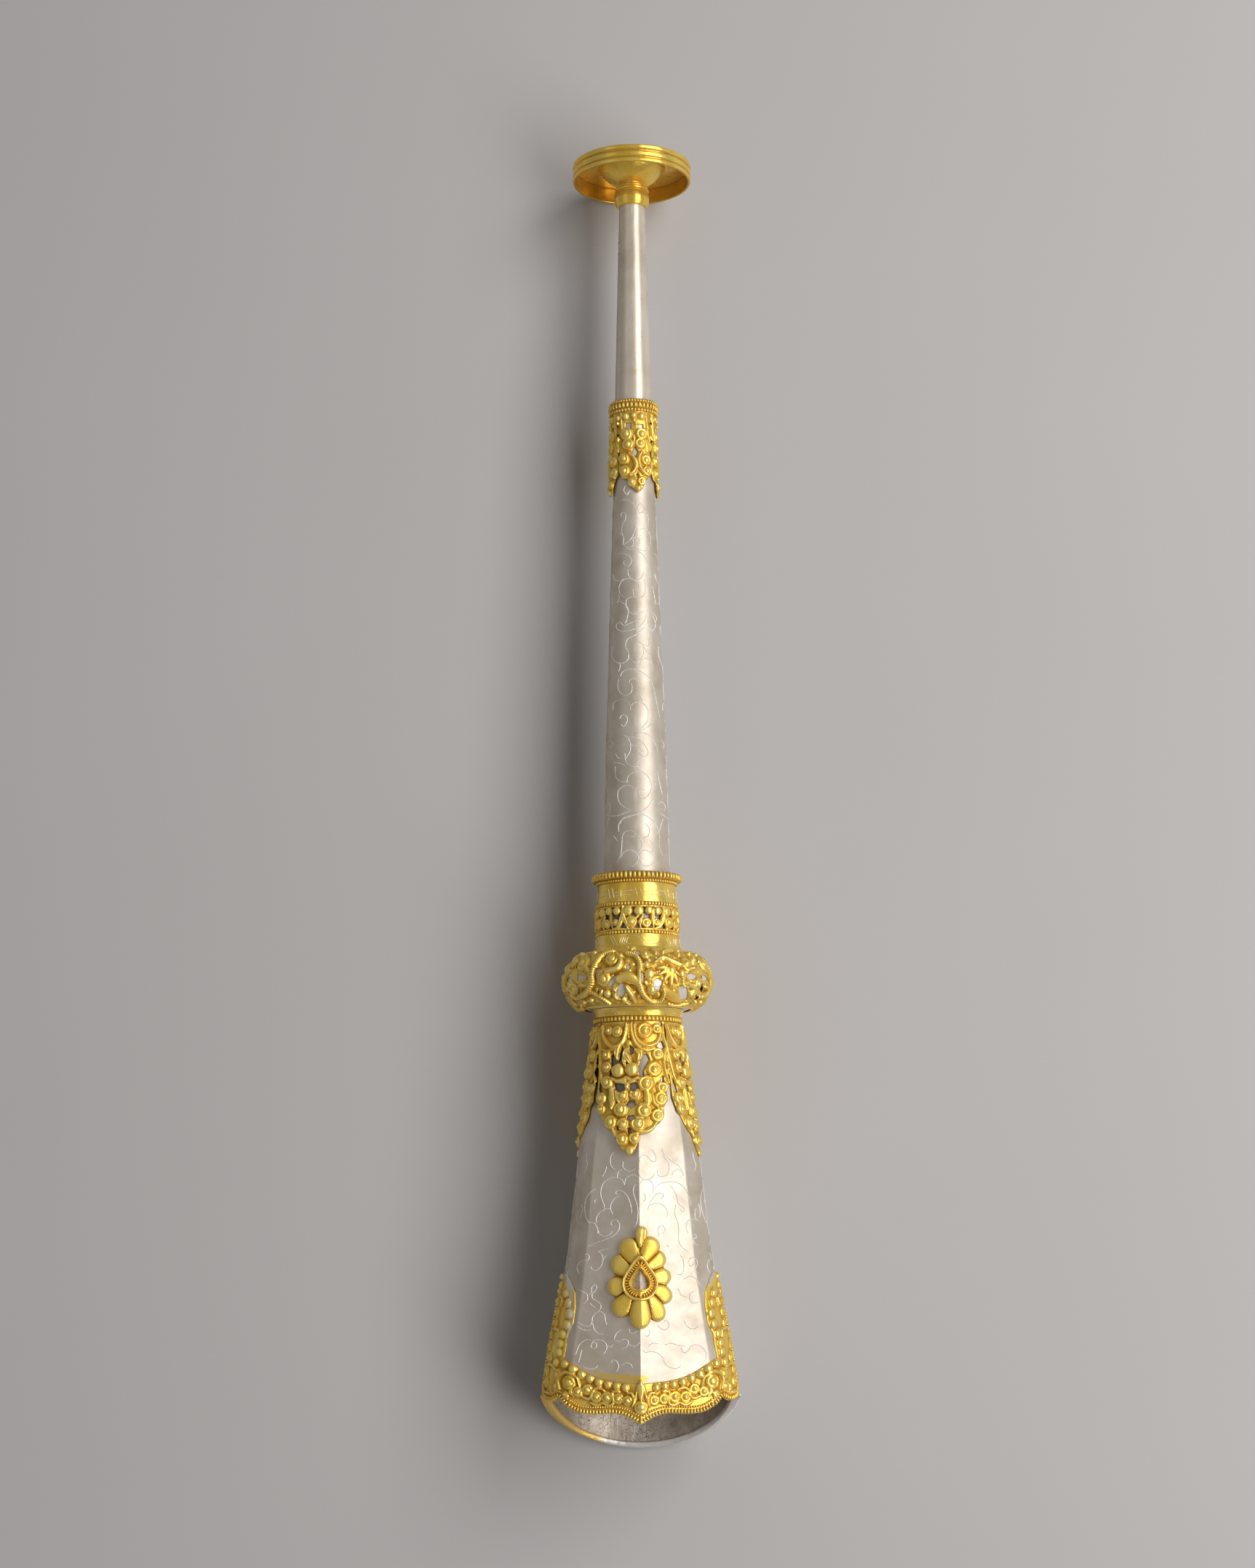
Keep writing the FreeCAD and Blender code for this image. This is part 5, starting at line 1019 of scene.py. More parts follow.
# Bell
CORNER, CUSP, LIP = 403.0, 8.5, 421.7
CORNER_SHARES = ((1.0, 0.0), (0.94, 0.17), (0.87, 0.24), (0.8, 0.08))
LOBE_SHARES = ((0.8, 0.08), (0.74, 0.36), (0.62, 0.6), (0.46, 0.66), (0.28, 0.63), (0.15, 0.72), (0.0, 1.0))
lip_path = np.vstack([smooth_path(np.array(CORNER_SHARES) * (30.8, CUSP)),
                      smooth_path(np.array(LOBE_SHARES) * (30.8, CUSP))[1:]])[::-1]


def front_lip(x):
    return CORNER + np.interp(np.abs(x), lip_path[:, 0], lip_path[:, 1], right=0.0)


def back_lip(x):
    return CORNER + (LIP - CORNER) * np.sqrt(np.clip(1 - (np.abs(x) / 29.9)**2, 0, 1))


def lip_stations(turns, passes):
    """Where the bell ends at each turn."""
    end = np.full(len(turns), 405.0)
    for _ in range(passes):
        x = bell_point(turns, end)[0]
        end = 0.5 * end + 0.5 * np.where(np.abs(turns) < 2.0, front_lip(x), back_lip(x))
    return end


def border_line(x):
    """The station at which the border's sheet begins."""
    return np.interp(np.abs(x), [0, 12, 18, 23.5, 40], [399, 398, 395, 392, 360])


def bell_wear(points):
    near = np.exp(-((points[:, 2] - border_line(points[:, 0]) + 0.4) / 1.5)**2) * (points[:, 1] > 0)
    return near * np.interp(points[:, 0], [-22, -14, -5, 1, 3, 20], [0.2, 0.6, 0.95, 0.9, 0.25, 0.2])


def bell_painted_shade(points):
    """Painted shade in the recess under the collar's left, darkest to the left."""
    shade_under_collar = np.clip((317.0 - points[:, 2]) / 3.0, 0, 1)
    shade_under_collar = shade_under_collar * np.interp(points[:, 0], [-12, 2, 8], [1.0, 0.8, 0.2])
    return 0.8 - 0.6 * shade_under_collar


def bell_rows(shares, turns, end, grow=0.0):
    return np.stack(np.broadcast_arrays(*bell_point(turns, THROAT + (end - THROAT) * shares, grow),
                                        THROAT + (end - THROAT) * shares), -1)


def bell_mesh():
    turns = np.linspace(-3, 3, 217)[:-1]
    end = lip_stations(turns, 30)
    outer = bell_rows(np.linspace(0, 1, 150)[:, None], turns, end)
    swell = 1 + bell_dents(turns, outer[..., 2]) / np.hypot(outer[..., 0], outer[..., 1])
    outer[..., :2] *= swell[..., None]

    def throat(stations, grow):
        rows = np.repeat(bell_rows(np.zeros((1, 1)), turns, end, grow), len(stations), axis=0)
        rows[..., 2] = np.asarray(stations)[:, None]
        return rows

    inside = bell_rows(np.linspace(1, 0, 60)[:, None], turns, end, -WALL)
    outer = np.vstack([throat(np.linspace(274.3, 288.4, 6), 0.0), outer])
    rows = np.vstack([outer, inside, throat([281.0, 274.3], -WALL)])
    obj = make_object("bell_looks", rows.reshape(-1, 3), grid_faces(len(rows), len(turns), True, True),
                      engraved, wear=bell_wear, relief=bell_painted_shade)
    obj.data.materials.append(inner[0])
    corners = np.array([min(p.vertices) for p in obj.data.polygons])
    obj.data.polygons.foreach_set("material_index", (corners >= len(outer) * len(turns)).astype(np.int32))
    mark_ridge(obj.data)


def mark_ridge(mesh):
    """Keeps the ridge crisp."""
    points = np.empty(len(mesh.vertices) * 3)
    mesh.vertices.foreach_get("co", points)
    points = points.reshape(-1, 3)
    pairs = np.empty(len(mesh.edges) * 2, int)
    mesh.edges.foreach_get("vertices", pairs)
    on_ridge = (np.abs(points[:, 0]) < 1e-6) & (points[:, 2] > 0.03)
    mesh.edges.foreach_set("use_edge_sharp", on_ridge[pairs.reshape(-1, 2)].all(1))


bell_mesh()

# Border of the mouth: side distance, station, radius and the way a scroll coils
WINDOW = ((22.8, 360.0), (22.5, 367.0), (21.6, 368.5), (20.0, 372.5), (19.9, 377.0), (20.6, 382.0),
          (22.3, 385.3), (22.9, 389.5), (23.6, 392.8), (21.6, 393.6), (18.5, 395.4), (15.5, 397.2),
          (12.0, 398.4), (8.0, 399.2), (4.0, 399.6), (0.0, 399.9))
OVERHANG = 0.5
WING_PEARLS = (
    (24.3, 367.7, 1.2), (23.9, 370.3, 1.45), (22.5, 372.9, 1.5), (21.9, 375.8, 1.6), (21.6, 379.0, 1.7),
    (22.3, 382.3, 1.6), (23.6, 385.2, 1.5), (24.3, 388.0, 1.45), (24.7, 390.7, 1.4),
)
WING_SCROLLS = (
    (25.6, 372.2, 1.4, 1), (25.4, 375.2, 1.7, -1), (25.2, 378.6, 1.8, 1), (25.7, 382.0, 1.75, -1),
    (27.0, 385.3, 1.85, 1), (27.5, 388.9, 1.85, -1), (27.6, 392.5, 1.9, 1), (28.4, 396.2, 2.0, -1),
    (28.6, 399.8, 1.9, 1), (25.2, 397.4, 2.0, 1), (25.6, 401.0, 1.8, -1),
)
BAND_PEARLS = (
    (25.6, 393.9, 1.4), (23.0, 394.2, 1.4), (20.6, 395.7, 1.35), (18.1, 397.3, 1.4), (15.4, 398.5, 1.35),
    (12.7, 399.6, 1.4), (9.9, 400.2, 1.35), (7.2, 400.7, 1.35), (4.6, 401.1, 1.3),
)
BAND_SCROLLS = (
    (21.9, 399.6, 2.35, 1), (19.1, 402.4, 1.7, -1), (16.2, 401.7, 1.75, 1), (13.4, 403.9, 1.95, -1),
    (10.2, 404.0, 1.95, 1), (6.8, 404.4, 1.8, -1), (3.9, 404.9, 1.7, 1), (22.8, 403.4, 1.3, -1),
)
BORDER_STRANDS = (
    (24.4, 401.8, 24.8, 398.6, 22.6, 396.6, 19.6, 398.0, 18.6, 400.6),
    (18.0, 403.8, 15.6, 404.4, 14.0, 401.6, 12.0, 401.4, 11.0, 402.0),
    (11.8, 405.6, 9.8, 406.4, 8.2, 405.6, 8.4, 402.6, 6.4, 402.2),
    (2.4, 406.6, 1.8, 404.8, 2.6, 402.8, 4.0, 402.6), (15.2, 405.6, 13.4, 406.4, 11.8, 405.8),
    (29.4, 394.4, 27.0, 394.6, 25.6, 396.0), (26.8, 383.8, 24.9, 383.9, 24.6, 386.2),
    (24.0, 376.6, 23.4, 374.4, 24.6, 373.2), (27.6, 403.0, 29.4, 402.4, 30.0, 400.2),
)
BORDER_LEAVES = (
    (20.4, 403.9, 21.4, 402.4, 20.6, 401.0), (8.5, 401.8, 8.6, 403.4, 8.4, 405.4),
    (26.6, 403.3, 27.2, 402.0, 27.0, 400.4), (29.5, 390.8, 29.0, 389.0, 29.3, 387.4),
)


def border_draw(field):
    x = bell_base(field.u, field.v)[..., 0]
    window = -inside_distance(x, field.v, [*WINDOW, *((-a, b) for a, b in WINDOW[-2::-1])])
    side_at = side_arc(field.v)
    past_side = np.abs(field.u) - side_at
    lip = np.where(past_side > -1.0, CORNER, front_lip(x)) + OVERHANG - field.v
    top = (field.v - 366.6) - 0.5 * np.clip(np.abs(x) - 25.0, 0, 3)
    shoulder = np.maximum(field.v - 375.0, (-1.6 - past_side) * 1.5)
    field.metal[:] = np.minimum.reduce([window, lip, top, 1.35 - past_side, shoulder])
    for side in (1, -1):
        field.spot = lambda a, s: (side * arc_of(a, s), s)
        for a, s, r in WING_PEARLS:
            field.boss(a, s, r, 1.45)
        for a, s, r, way in WING_SCROLLS:
            field.spiral(a, s, r, 1.45, way * side, 0.1)
        for a, s, r in BAND_PEARLS:
            field.boss(a, s, r, 1.5)
        for a, s, r, way in BAND_SCROLLS:
            field.spiral(a, s, r, 1.6, way * side, 0.0)
        for points in BORDER_STRANDS:
            field.line(points, (0.35, 0.6, 0.35), 1.3, solid=False)
        for points in BORDER_LEAVES:
            field.leaf(points, 0.75, 1.2, solid=False)
    field.spot = lambda u, v: (u, v)
    field.spiral(0.0, 407.0, 2.1, 1.8, 1)
    field.leaf((0.0, 399.0, 0.0, 402.0, 0.0, 405.2), 0.9, 1.5)
    field.line((-1.6, 404.6, -0.7, 400.8, 0.0, 399.2, 0.7, 400.8, 1.6, 404.6), 0.4, 1.2, solid=False)
    field.h += 0.12 * waves(field.u * 2.2, field.v * 2.2) * (field.h < 0.6)


def border_wear(points, h):
    x, s = points[:, 0], points[:, 2]
    inner_edge = np.clip(1 - np.abs(np.abs(x) - 21.6) / 2.6, 0, 1)
    left = np.clip(-x / 10, 0, 1) * np.clip((391.0 - s) / 6.0, 0, 1) * inner_edge
    tips = np.clip((372.0 - s) / 5.0, 0, 1)
    right = np.clip(x / 10, 0, 1) * np.clip((390.0 - s) / 8.0, 0, 1) * inner_edge
    return 0.04 + 0.62 * left + 0.42 * tips + 0.26 * right


relief_sheet("mouth_border_looks", [bell_surface], lambda share, v: share * (side_arc(v) + 1.4),
             np.linspace(-1, 1, 380), np.linspace(366.0, 412.4, 210), border_draw, ground=0.4,
             wear=border_wear)

# Beaded wires along the border
lip_x = np.linspace(-29.3, 29.3, 401)
lip_points = np.array([(arc_of(a, float(front_lip(a))), float(front_lip(a)) + OVERHANG) for a in lip_x])


def wire_path(inset, top):
    left = [(-float(side_arc(s)) - 1.3 + inset, s) for s in np.arange(top, 401.6, 1.0)]
    right = [(-a, b) for a, b in left[::-1]]
    tangent = unit(np.gradient(lip_points, axis=0))
    path = lip_points + np.stack([tangent[:, 1], -tangent[:, 0]], -1) * inset
    return np.vstack([left, path[np.abs(path[:, 0]) < float(side_arc(402.0)) + 0.9 - inset], right])


def resample(path, pitch):
    """Rows of values at an even pitch along the path of the rows."""
    run = np.concatenate([[0], np.cumsum(np.linalg.norm(np.diff(path, axis=0), axis=1))])
    count = int(run[-1] / pitch)
    at = (np.arange(count) + 0.5) * run[-1] / count
    return lambda values: np.stack([np.interp(at, run, column) for column in values.T], -1)


def untangled(path):
    """Drops points where an inset path doubles back, and keeps neighbours apart."""
    out = [path[0]]
    for p in path[1:]:
        if np.hypot(*(p - out[-1])) > 0.25:
            out.append(p)
    out = np.array(out)
    for _ in range(3):
        out[1:-1] = out[1:-1] * 0.5 + (out[:-2] + out[2:]) * 0.25
    return out


def beads_on_bell(name, spots, ahead, lift, sizes, wear):
    """A row of beads at height lift over the bell's skin."""
    centre = bell_surface(*spots.T, lift)
    beads(name, centre, bell_surface(*spots.T, lift + 0.5) - centre,
          bell_surface(*(spots + ahead * 0.2).T, lift) - centre, sizes, wear=wear)


for name, inset, top, pitch, sizes in (
        ("mouth_border_outer_beads_looks", 0.75, 376.0, 1.03, (0.49, 0.62, 0.82)),
        ("mouth_border_inner_beads_looks", 2.05, 377.0, 0.78, (0.38, 0.42, 0.42))):
    path = untangled(wire_path(inset, top))
    spots = resample(path, pitch)(path)
    beads_on_bell(name, spots, np.gradient(spots, axis=0), 0.75, sizes,
                  lambda p: 0.10 + 0.22 * np.clip((p[:, 2] - 403) / 8, 0, 1))


# Rim of the back lip
def rim_meshes():
    """The silver band over the back lip, and the beaded wire outside it."""
    turns = np.linspace(2.004, 3.996, 260)
    turns = np.where(turns > 3, turns - 6, turns)
    end = lip_stations(turns, 40)
    edge = np.stack([*bell_point(turns, end), end], -1)
    ahead = np.gradient(edge, axis=0)
    down = np.stack([*bell_point(turns, end - 1.0), end - 1.0], -1) - edge
    normal = outward(unit(np.cross(ahead, down)), edge)
    inward = unit(np.cross(normal, ahead))
    inward *= np.where(inward[:, 2:] > 0, -1.0, 1.0)
    profile = ((-1.1, 1.75), (-1.22, 1.55), (-1.22, 0.1), (-1.05, -0.03), (0.55, -0.03), (0.75, 0.05),
               (0.75, 1.45), (0.6, 1.6), (0.02, 1.6), (0.02, -0.02), (-0.82, -0.02), (-0.82, 1.75))
    points = np.vstack([edge + normal * n + inward * a for n, a in profile])
    starts = np.arange(len(profile)) * len(turns)
    faces = grid_faces(len(profile), len(turns), looped=True).tolist()
    faces += [starts.tolist(), (starts + len(turns) - 1).tolist()[::-1]]
    make_object("mouth_rim_looks", points, faces, worn_silver,
                wear=0.75 * np.clip((-points[:, 0] - 4) / 12, 0, 1), relief=0.8)
    sample = resample(edge, 1.0)
    beads("mouth_rim_bead_wire_looks", sample(edge + normal * 1.15 + inward * 0.42), sample(normal),
          sample(ahead), (0.47, 0.5, 0.55), worn_silver,
          lambda p: 0.55 - 0.25 * np.clip(p[:, 0] / 20, -1, 1))


rim_meshes()

# Medallion
MEDALLION = 368.2
MEDALLION_SCALE = 43.4


def rose_spot(cx, cy):
    return (cx - 545) / MEDALLION_SCALE, MEDALLION + (cy - 785) / 43.8


# Petals: root, tip and half width, and the order in which each lies over the one before.
PETALS = (
    ((562, 380), (575, 92), 84), ((575, 560), (762, 250), 138), ((600, 660), (895, 470), 128),
    ((600, 800), (985, 755), 124), ((600, 880), (990, 1065), 128), ((590, 940), (850, 1345), 132),
    ((545, 960), (545, 1458), 152), ((490, 940), (190, 1270), 140), ((460, 860), (82, 915), 134),
    ((470, 760), (165, 520), 146), ((505, 600), (330, 262), 150),
)
WIDEST_AT = 0.64
ROOT_SHARE = 0.45
PETAL_ORDER = (0, 3, 8, 2, 9, 4, 1, 10, 7, 5, 6)
PEAR = [(545, 505), (590, 560), (640, 640), (700, 715), (745, 790), (757, 870), (735, 950), (690, 1010),
        (625, 1052), (545, 1068), (465, 1052), (400, 1012), (352, 950), (333, 870), (345, 790), (392, 705),
        (450, 625), (500, 560)]
DROP = [(545, 632), (585, 705), (632, 780), (657, 840), (650, 890), (620, 925), (580, 942), (545, 946),
        (505, 940), (462, 915), (436, 875), (432, 835), (460, 775), (505, 705)]


def rose_draw(field):
    field.spot = rose_spot
    field.outline([(545 + (x - 545) * 0.86, 800 + (y - 800) * 0.86) for _, (x, y), _ in PETALS])
    for number in PETAL_ORDER:
        base, tip, half = PETALS[number]
        a, b = np.array(rose_spot(*base)), np.array(rose_spot(*tip))
        length, half = np.linalg.norm(b - a), half / MEDALLION_SCALE
        axis = (b - a) / length
        du, dv = field.u - a[0], field.v - a[1]
        t = (du * axis[0] + dv * axis[1]) / length
        across = du * axis[1] - dv * axis[0]
        end = np.sqrt(np.clip(1 - (np.clip(t - WIDEST_AT, 0, 1) / (1 - WIDEST_AT))**2, 0, 1))
        swell = ROOT_SHARE + (1 - ROOT_SHARE) * np.clip(t / WIDEST_AT, 0, 1)**0.8
        width = half * np.where(t < WIDEST_AT, swell, end)
        rel = np.abs(across) / np.maximum(width, 1e-3)
        round_top = np.sqrt(np.clip(1 - rel**2, 0, 1))
        along = np.clip(t, 0, 1)
        dome = 0.35 + 1.85 * round_top * end * (0.62 + 0.38 * along)
        dome = dome - 0.05 * np.cos(2 * math.pi * across / 0.55 * (1.6 - 0.6 * along)) * round_top
        inside = (rel < 1) & (t > 0) & (t < 1)
        field.h = np.where(inside & (dome > 0.5), np.where(rel > 0.93, 0.35, dome), field.h)
        metal = np.where((t > 0) & (t < 1.0), np.minimum((1 - rel) * width, (1 - t) * length), NOWHERE)
        field.metal = np.maximum(field.metal, metal)
    field.h = field.h - 0.35 * field.vein((577, 110, 562, 320), 0.35)
    field.outline(PEAR)
    pear = field.inside(PEAR)
    field.h = np.where(pear > 0.0, 0.9, field.h)
    ridge = np.sqrt(np.clip(1 - (np.abs(pear) / 0.5)**2, 0, 1))
    field.h = np.where(np.abs(pear) < 0.5, 1.3 + 1.0 * ridge, field.h)
    field.cut(DROP, 0.1)


# As on the chased gilt, its recess colour is painted shade and its crest colour a painted highlight.
rose_gilt = metal("brushed_gilt", "chased_gilt", GOLD, (0.24, 0.36), (300.0, 0.06), (4500.0, 0.03),
                  relief=(GOLD_SHADE_AND_PATINA, 0.06, 0.46), wear=(SILVER_WORN, 0.3), body=0.5, crest=(GOLD_RUBBED_CREST_HIGHLIGHT, 0.5))
relief_sheet("medallion_petals_looks", [bell_surface], lambda share, v: share + 0 * v,
             np.linspace(-12.2, 12.2, 176), np.linspace(350.6, 385.8, 250), rose_draw, rose_gilt, 0.4)


def closed_plan(outline, middle=0, across=1.0, down=1.0, spacing=0.25):
    """A closed curve on the bell from drawing coordinates, scaled about a middle point on the ridge."""
    p = np.array([rose_spot(545 + (x - 545) * across, middle + (y - middle) * down) for x, y in outline])
    return smooth_path(np.vstack([p, p[:1]]), spacing)


def on_medallion(name, rows, finish, **attributes):
    """A mesh of closed rows at their heights over the bell's skin."""
    points = np.vstack([bell_surface(*row.T, height) for row, height in rows])
    make_object(name, points, grid_faces(len(rows), len(rows[0][0]), True), finish, **attributes)


def bezel():
    """The thin standing wall of the setting."""
    p = closed_plan(DROP, 800, 1.1, 1.06)[:-1]
    ahead = unit(np.roll(p, -1, 0) - np.roll(p, 1, 0))
    side = np.stack([ahead[:, 1], -ahead[:, 0]], -1)
    side *= np.sign(((p - p.mean(0)) * side).sum(1).mean())
    inn = p - side * 0.3
    on_medallion("medallion_bezel_looks",
                 [(p, 0.06), (p, 2.18), ((p + inn) / 2, 2.3), (inn, 2.18), (inn, 0.06)], polished, wear=0.1,
                 relief=0.8)


bezel()
# Painted shade: a thin dark sheet on the bell inside the empty setting.
ring = closed_plan(DROP)[:-1]
on_medallion("medallion_setting_painted_shade",
             [(ring.mean(0) + (ring - ring.mean(0)) * share, 0.07) for share in (1.08, 0.8, 0.55, 0.3, 0.08)],
             (inner[0], "engraved_silver"))
path = closed_plan(PEAR, 810, 0.74, 0.79, 0.2)
spots = resample(path, 0.78)(path)
beads_on_bell("medallion_bead_row_looks", spots, np.roll(spots, -1, 0) - np.roll(spots, 1, 0), 1.15,
              (0.36, 0.55, 0.62), 0.12)


# Engraving: bright cuts that stand a hair over the silver, whose near-white colour is a painted glint
def cuts(name, surface, paths, width, finish=bright, lift=0.11):
    points, faces = [], []
    for path in paths:
        n = len(path)
        if n < 3:
            continue
        ahead = np.gradient(path, axis=0)
        ahead /= np.maximum(np.linalg.norm(ahead, axis=1, keepdims=True), 1e-9)
        side = np.stack([ahead[:, 1], -ahead[:, 0]], -1)
        w = width * (0.35 + 0.65 * np.sin(np.linspace(0.03, 0.97, n) * math.pi)**0.5)
        w = w * (1 + 0.25 * np.sin(np.arange(n) * 0.9 + len(points)))
        faces.append(sum(len(q) for q in points) + grid_faces(3, n)[:, [0, 3, 2, 1]])
        for share, h in ((-1, -0.03), (0, lift), (1, -0.03)):
            points.append(surface(*(path + side * (share * w / 2)[:, None]).T, h))
    make_object(name, np.vstack(points), np.vstack(faces), finish, False)


# Strokes of the vine, drawn once in drawing coordinates of 1725 x 2156 and laid on the surfaces.
DRAWING_FOCUS, DRAWING_MIDDLE = 3830.0, 1078.0
DRAWING_TILT = math.radians(9.8)
STATION_BELOW, HEIGHT_ABOVE = 364.2, 888.3


def laid_down(across, down, height):
    """A spot of the drawing on a level height mm over the axis: (x, station)."""
    slant = np.arctan((down - DRAWING_MIDDLE) / DRAWING_FOCUS)
    lean = DRAWING_TILT - slant
    station = STATION_BELOW - (HEIGHT_ABOVE - height) * np.tan(lean)
    depth = (HEIGHT_ABOVE - height) / np.cos(lean) * np.cos(slant)
    middle = 869.5 + (down - 250.0) * 0.00697
    return (across - middle) * depth / DRAWING_FOCUS, station


def tube_radius(s):
    return np.interp(s, *np.transpose(MAIN_TUBE))


def tube_surface(u, s, h):
    return round_surface(tube_radius)(u, s, h + TUBE_DENTS * waves(u, s))


def on_tube(across, down):
    height = np.full(len(across), 8.0)
    for _ in range(4):
        x, s = laid_down(across, down, height)
        radius = tube_radius(s)
        x = np.clip(x, -0.97 * radius, 0.97 * radius)
        height = np.sqrt(radius**2 - x**2)
    return np.stack([radius * np.arcsin(x / radius), s], -1)


def on_bell(across, down):
    height = np.full(len(across), 18.0)
    for _ in range(5):
        x, s = laid_down(across, down, height)
        u = np.array([arc_of(abs(a), b) for a, b in zip(x, s)]) * np.sign(x)
        height = bell_base(u, s)[..., 1]
    return np.stack([u, s], -1)


def laid_strokes(strokes, left, top, scale, lay):
    paths = [smooth_path(np.reshape(stroke, (-1, 2)) / scale, 0.9) for stroke in strokes]
    return [lay(path[:, 0] + left, path[:, 1] + top) for path in paths]


TUBE_TOP = (
    (395, 475, 375, 485, 365, 500, 350, 480, 360, 450),
    (330, 528, 365, 525, 400, 550, 412, 600, 408, 660, 385, 715, 350, 745),
    (345, 745, 350, 715, 340, 680, 345, 645, 358, 620, 358, 592, 343, 587, 335, 600, 343, 612),
    (320, 688, 335, 690, 340, 700), (415, 575, 425, 548, 440, 550, 450, 575, 430, 590),
    (425, 590, 455, 590, 472, 615, 468, 655, 455, 675), (430, 670, 460, 668, 480, 700, 480, 750, 470, 765),
    (350, 750, 375, 760, 395, 745, 395, 715, 410, 708, 425, 720, 425, 740, 410, 748, 400, 738),
    (395, 745, 420, 765, 450, 775, 475, 770), (360, 768, 400, 770, 440, 790, 465, 830, 478, 880, 480, 940),
    (300, 790, 340, 788, 375, 800, 388, 825, 375, 848, 355, 845, 350, 828, 362, 822),
    (370, 865, 372, 895, 390, 915, 420, 918, 440, 900, 448, 880), (300, 890, 305, 915, 330, 922, 350, 910),
    (355, 1005, 335, 990, 326, 960, 335, 930, 360, 912, 395, 915, 420, 935, 425, 965),
    (410, 970, 395, 965, 400, 995, 425, 1008, 450, 990, 455, 950, 450, 920),
    (290, 1045, 320, 1020, 345, 1030, 370, 1060, 365, 1110, 355, 1130),
    (415, 1008, 390, 1000, 365, 1012, 360, 1035, 365, 1060, 390, 1083, 420, 1080, 450, 1070),
    (460, 1090, 450, 1120, 420, 1150, 375, 1165, 335, 1168, 315, 1155, 315, 1135, 330, 1125, 350, 1140,
     390, 1125, 430, 1110),
    (480, 1060, 490, 1090, 505, 1130, 500, 1160, 485, 1165, 470, 1140, 468, 1100),
    (490, 950, 500, 1000, 508, 1040),
    (385, 1255, 365, 1255, 358, 1235, 370, 1205, 400, 1190, 430, 1170, 455, 1150),
    (425, 1180, 418, 1210, 440, 1230, 470, 1240, 475, 1200),
    (360, 1250, 372, 1275, 370, 1305, 345, 1325, 315, 1322, 293, 1290, 295, 1245),
    (375, 1300, 400, 1320, 430, 1310, 447, 1280, 445, 1240), (440, 1235, 465, 1270, 488, 1300),
    (430, 1340, 435, 1315, 460, 1302, 485, 1320, 492, 1350, 480, 1380), (285, 1090, 295, 1110, 290, 1130),
    (322, 985, 328, 1005, 318, 1030),
)
TUBE_LOW = (
    (333, 178, 345, 155, 375, 143, 415, 148, 450, 165, 480, 195, 498, 240, 508, 290, 518, 340, 526, 380),
    (330, 110, 332, 130, 324, 155), (325, 190, 320, 225, 332, 258, 358, 272, 383, 260, 390, 232, 385, 212),
    (376, 212, 380, 195, 400, 190, 418, 205, 425, 235, 430, 270, 440, 305),
    (298, 340, 300, 310, 325, 293, 355, 295, 378, 315, 384, 345),
    (384, 325, 400, 308, 430, 305, 455, 320, 468, 345, 470, 375), (500, 385, 490, 405, 455, 435, 400, 447),
    (470, 375, 465, 400, 440, 430), (330, 385, 340, 368, 358, 370, 367, 390, 360, 412, 345, 425, 338, 412),
    (345, 465, 368, 480, 382, 510, 378, 550, 355, 585),
    (370, 475, 410, 480, 445, 505, 468, 545, 462, 568, 440, 570, 430, 555, 445, 545),
    (420, 455, 455, 458, 490, 480, 510, 520, 518, 555), (310, 555, 320, 575, 345, 583),
    (378, 520, 400, 515, 425, 525, 440, 550), (355, 555, 358, 590, 375, 612, 405, 620, 430, 612),
    (428, 585, 415, 600, 420, 630, 440, 645), (300, 600, 335, 605, 365, 620),
    (308, 620, 308, 660, 320, 685, 345, 695, 365, 690),
    (365, 700, 370, 670, 395, 650, 430, 645, 460, 660, 480, 690, 485, 720, 475, 755, 450, 777, 430, 770,
     422, 745, 435, 730, 455, 735),
    (500, 620, 505, 670, 498, 730, 485, 760), (330, 645, 345, 655), (336, 634, 350, 645),
    (400, 730, 380, 715, 350, 715, 325, 735, 320, 760, 325, 790, 345, 815, 385, 835),
    (255, 860, 310, 862, 360, 845, 385, 838),
    (490, 780, 470, 815, 430, 845, 380, 865, 340, 880, 325, 905, 325, 940),
    (330, 900, 350, 870, 400, 858, 440, 855, 480, 875, 510, 910, 525, 960, 525, 1010, 540, 1060),
    (525, 940, 535, 900, 548, 870),
    (318, 1090, 335, 1050, 340, 1000, 343, 960, 360, 938, 390, 935, 405, 950, 395, 965, 380, 958),
    (410, 950, 430, 975, 438, 1010, 420, 1045),
    (335, 1065, 350, 1040, 380, 1030, 410, 1045, 420, 1075, 400, 1105, 375, 1110),
    (425, 1075, 430, 1045, 455, 1030, 485, 1040, 495, 1010, 480, 985),
    (430, 1080, 445, 1105, 480, 1105, 500, 1085, 520, 1100), (455, 900, 475, 925, 470, 960, 445, 970),
    (262, 820, 268, 800, 285, 810, 280, 840), (515, 640, 525, 700, 540, 760), (300, 960, 320, 985),
    (280, 490, 295, 505, 290, 525, 278, 520),
)
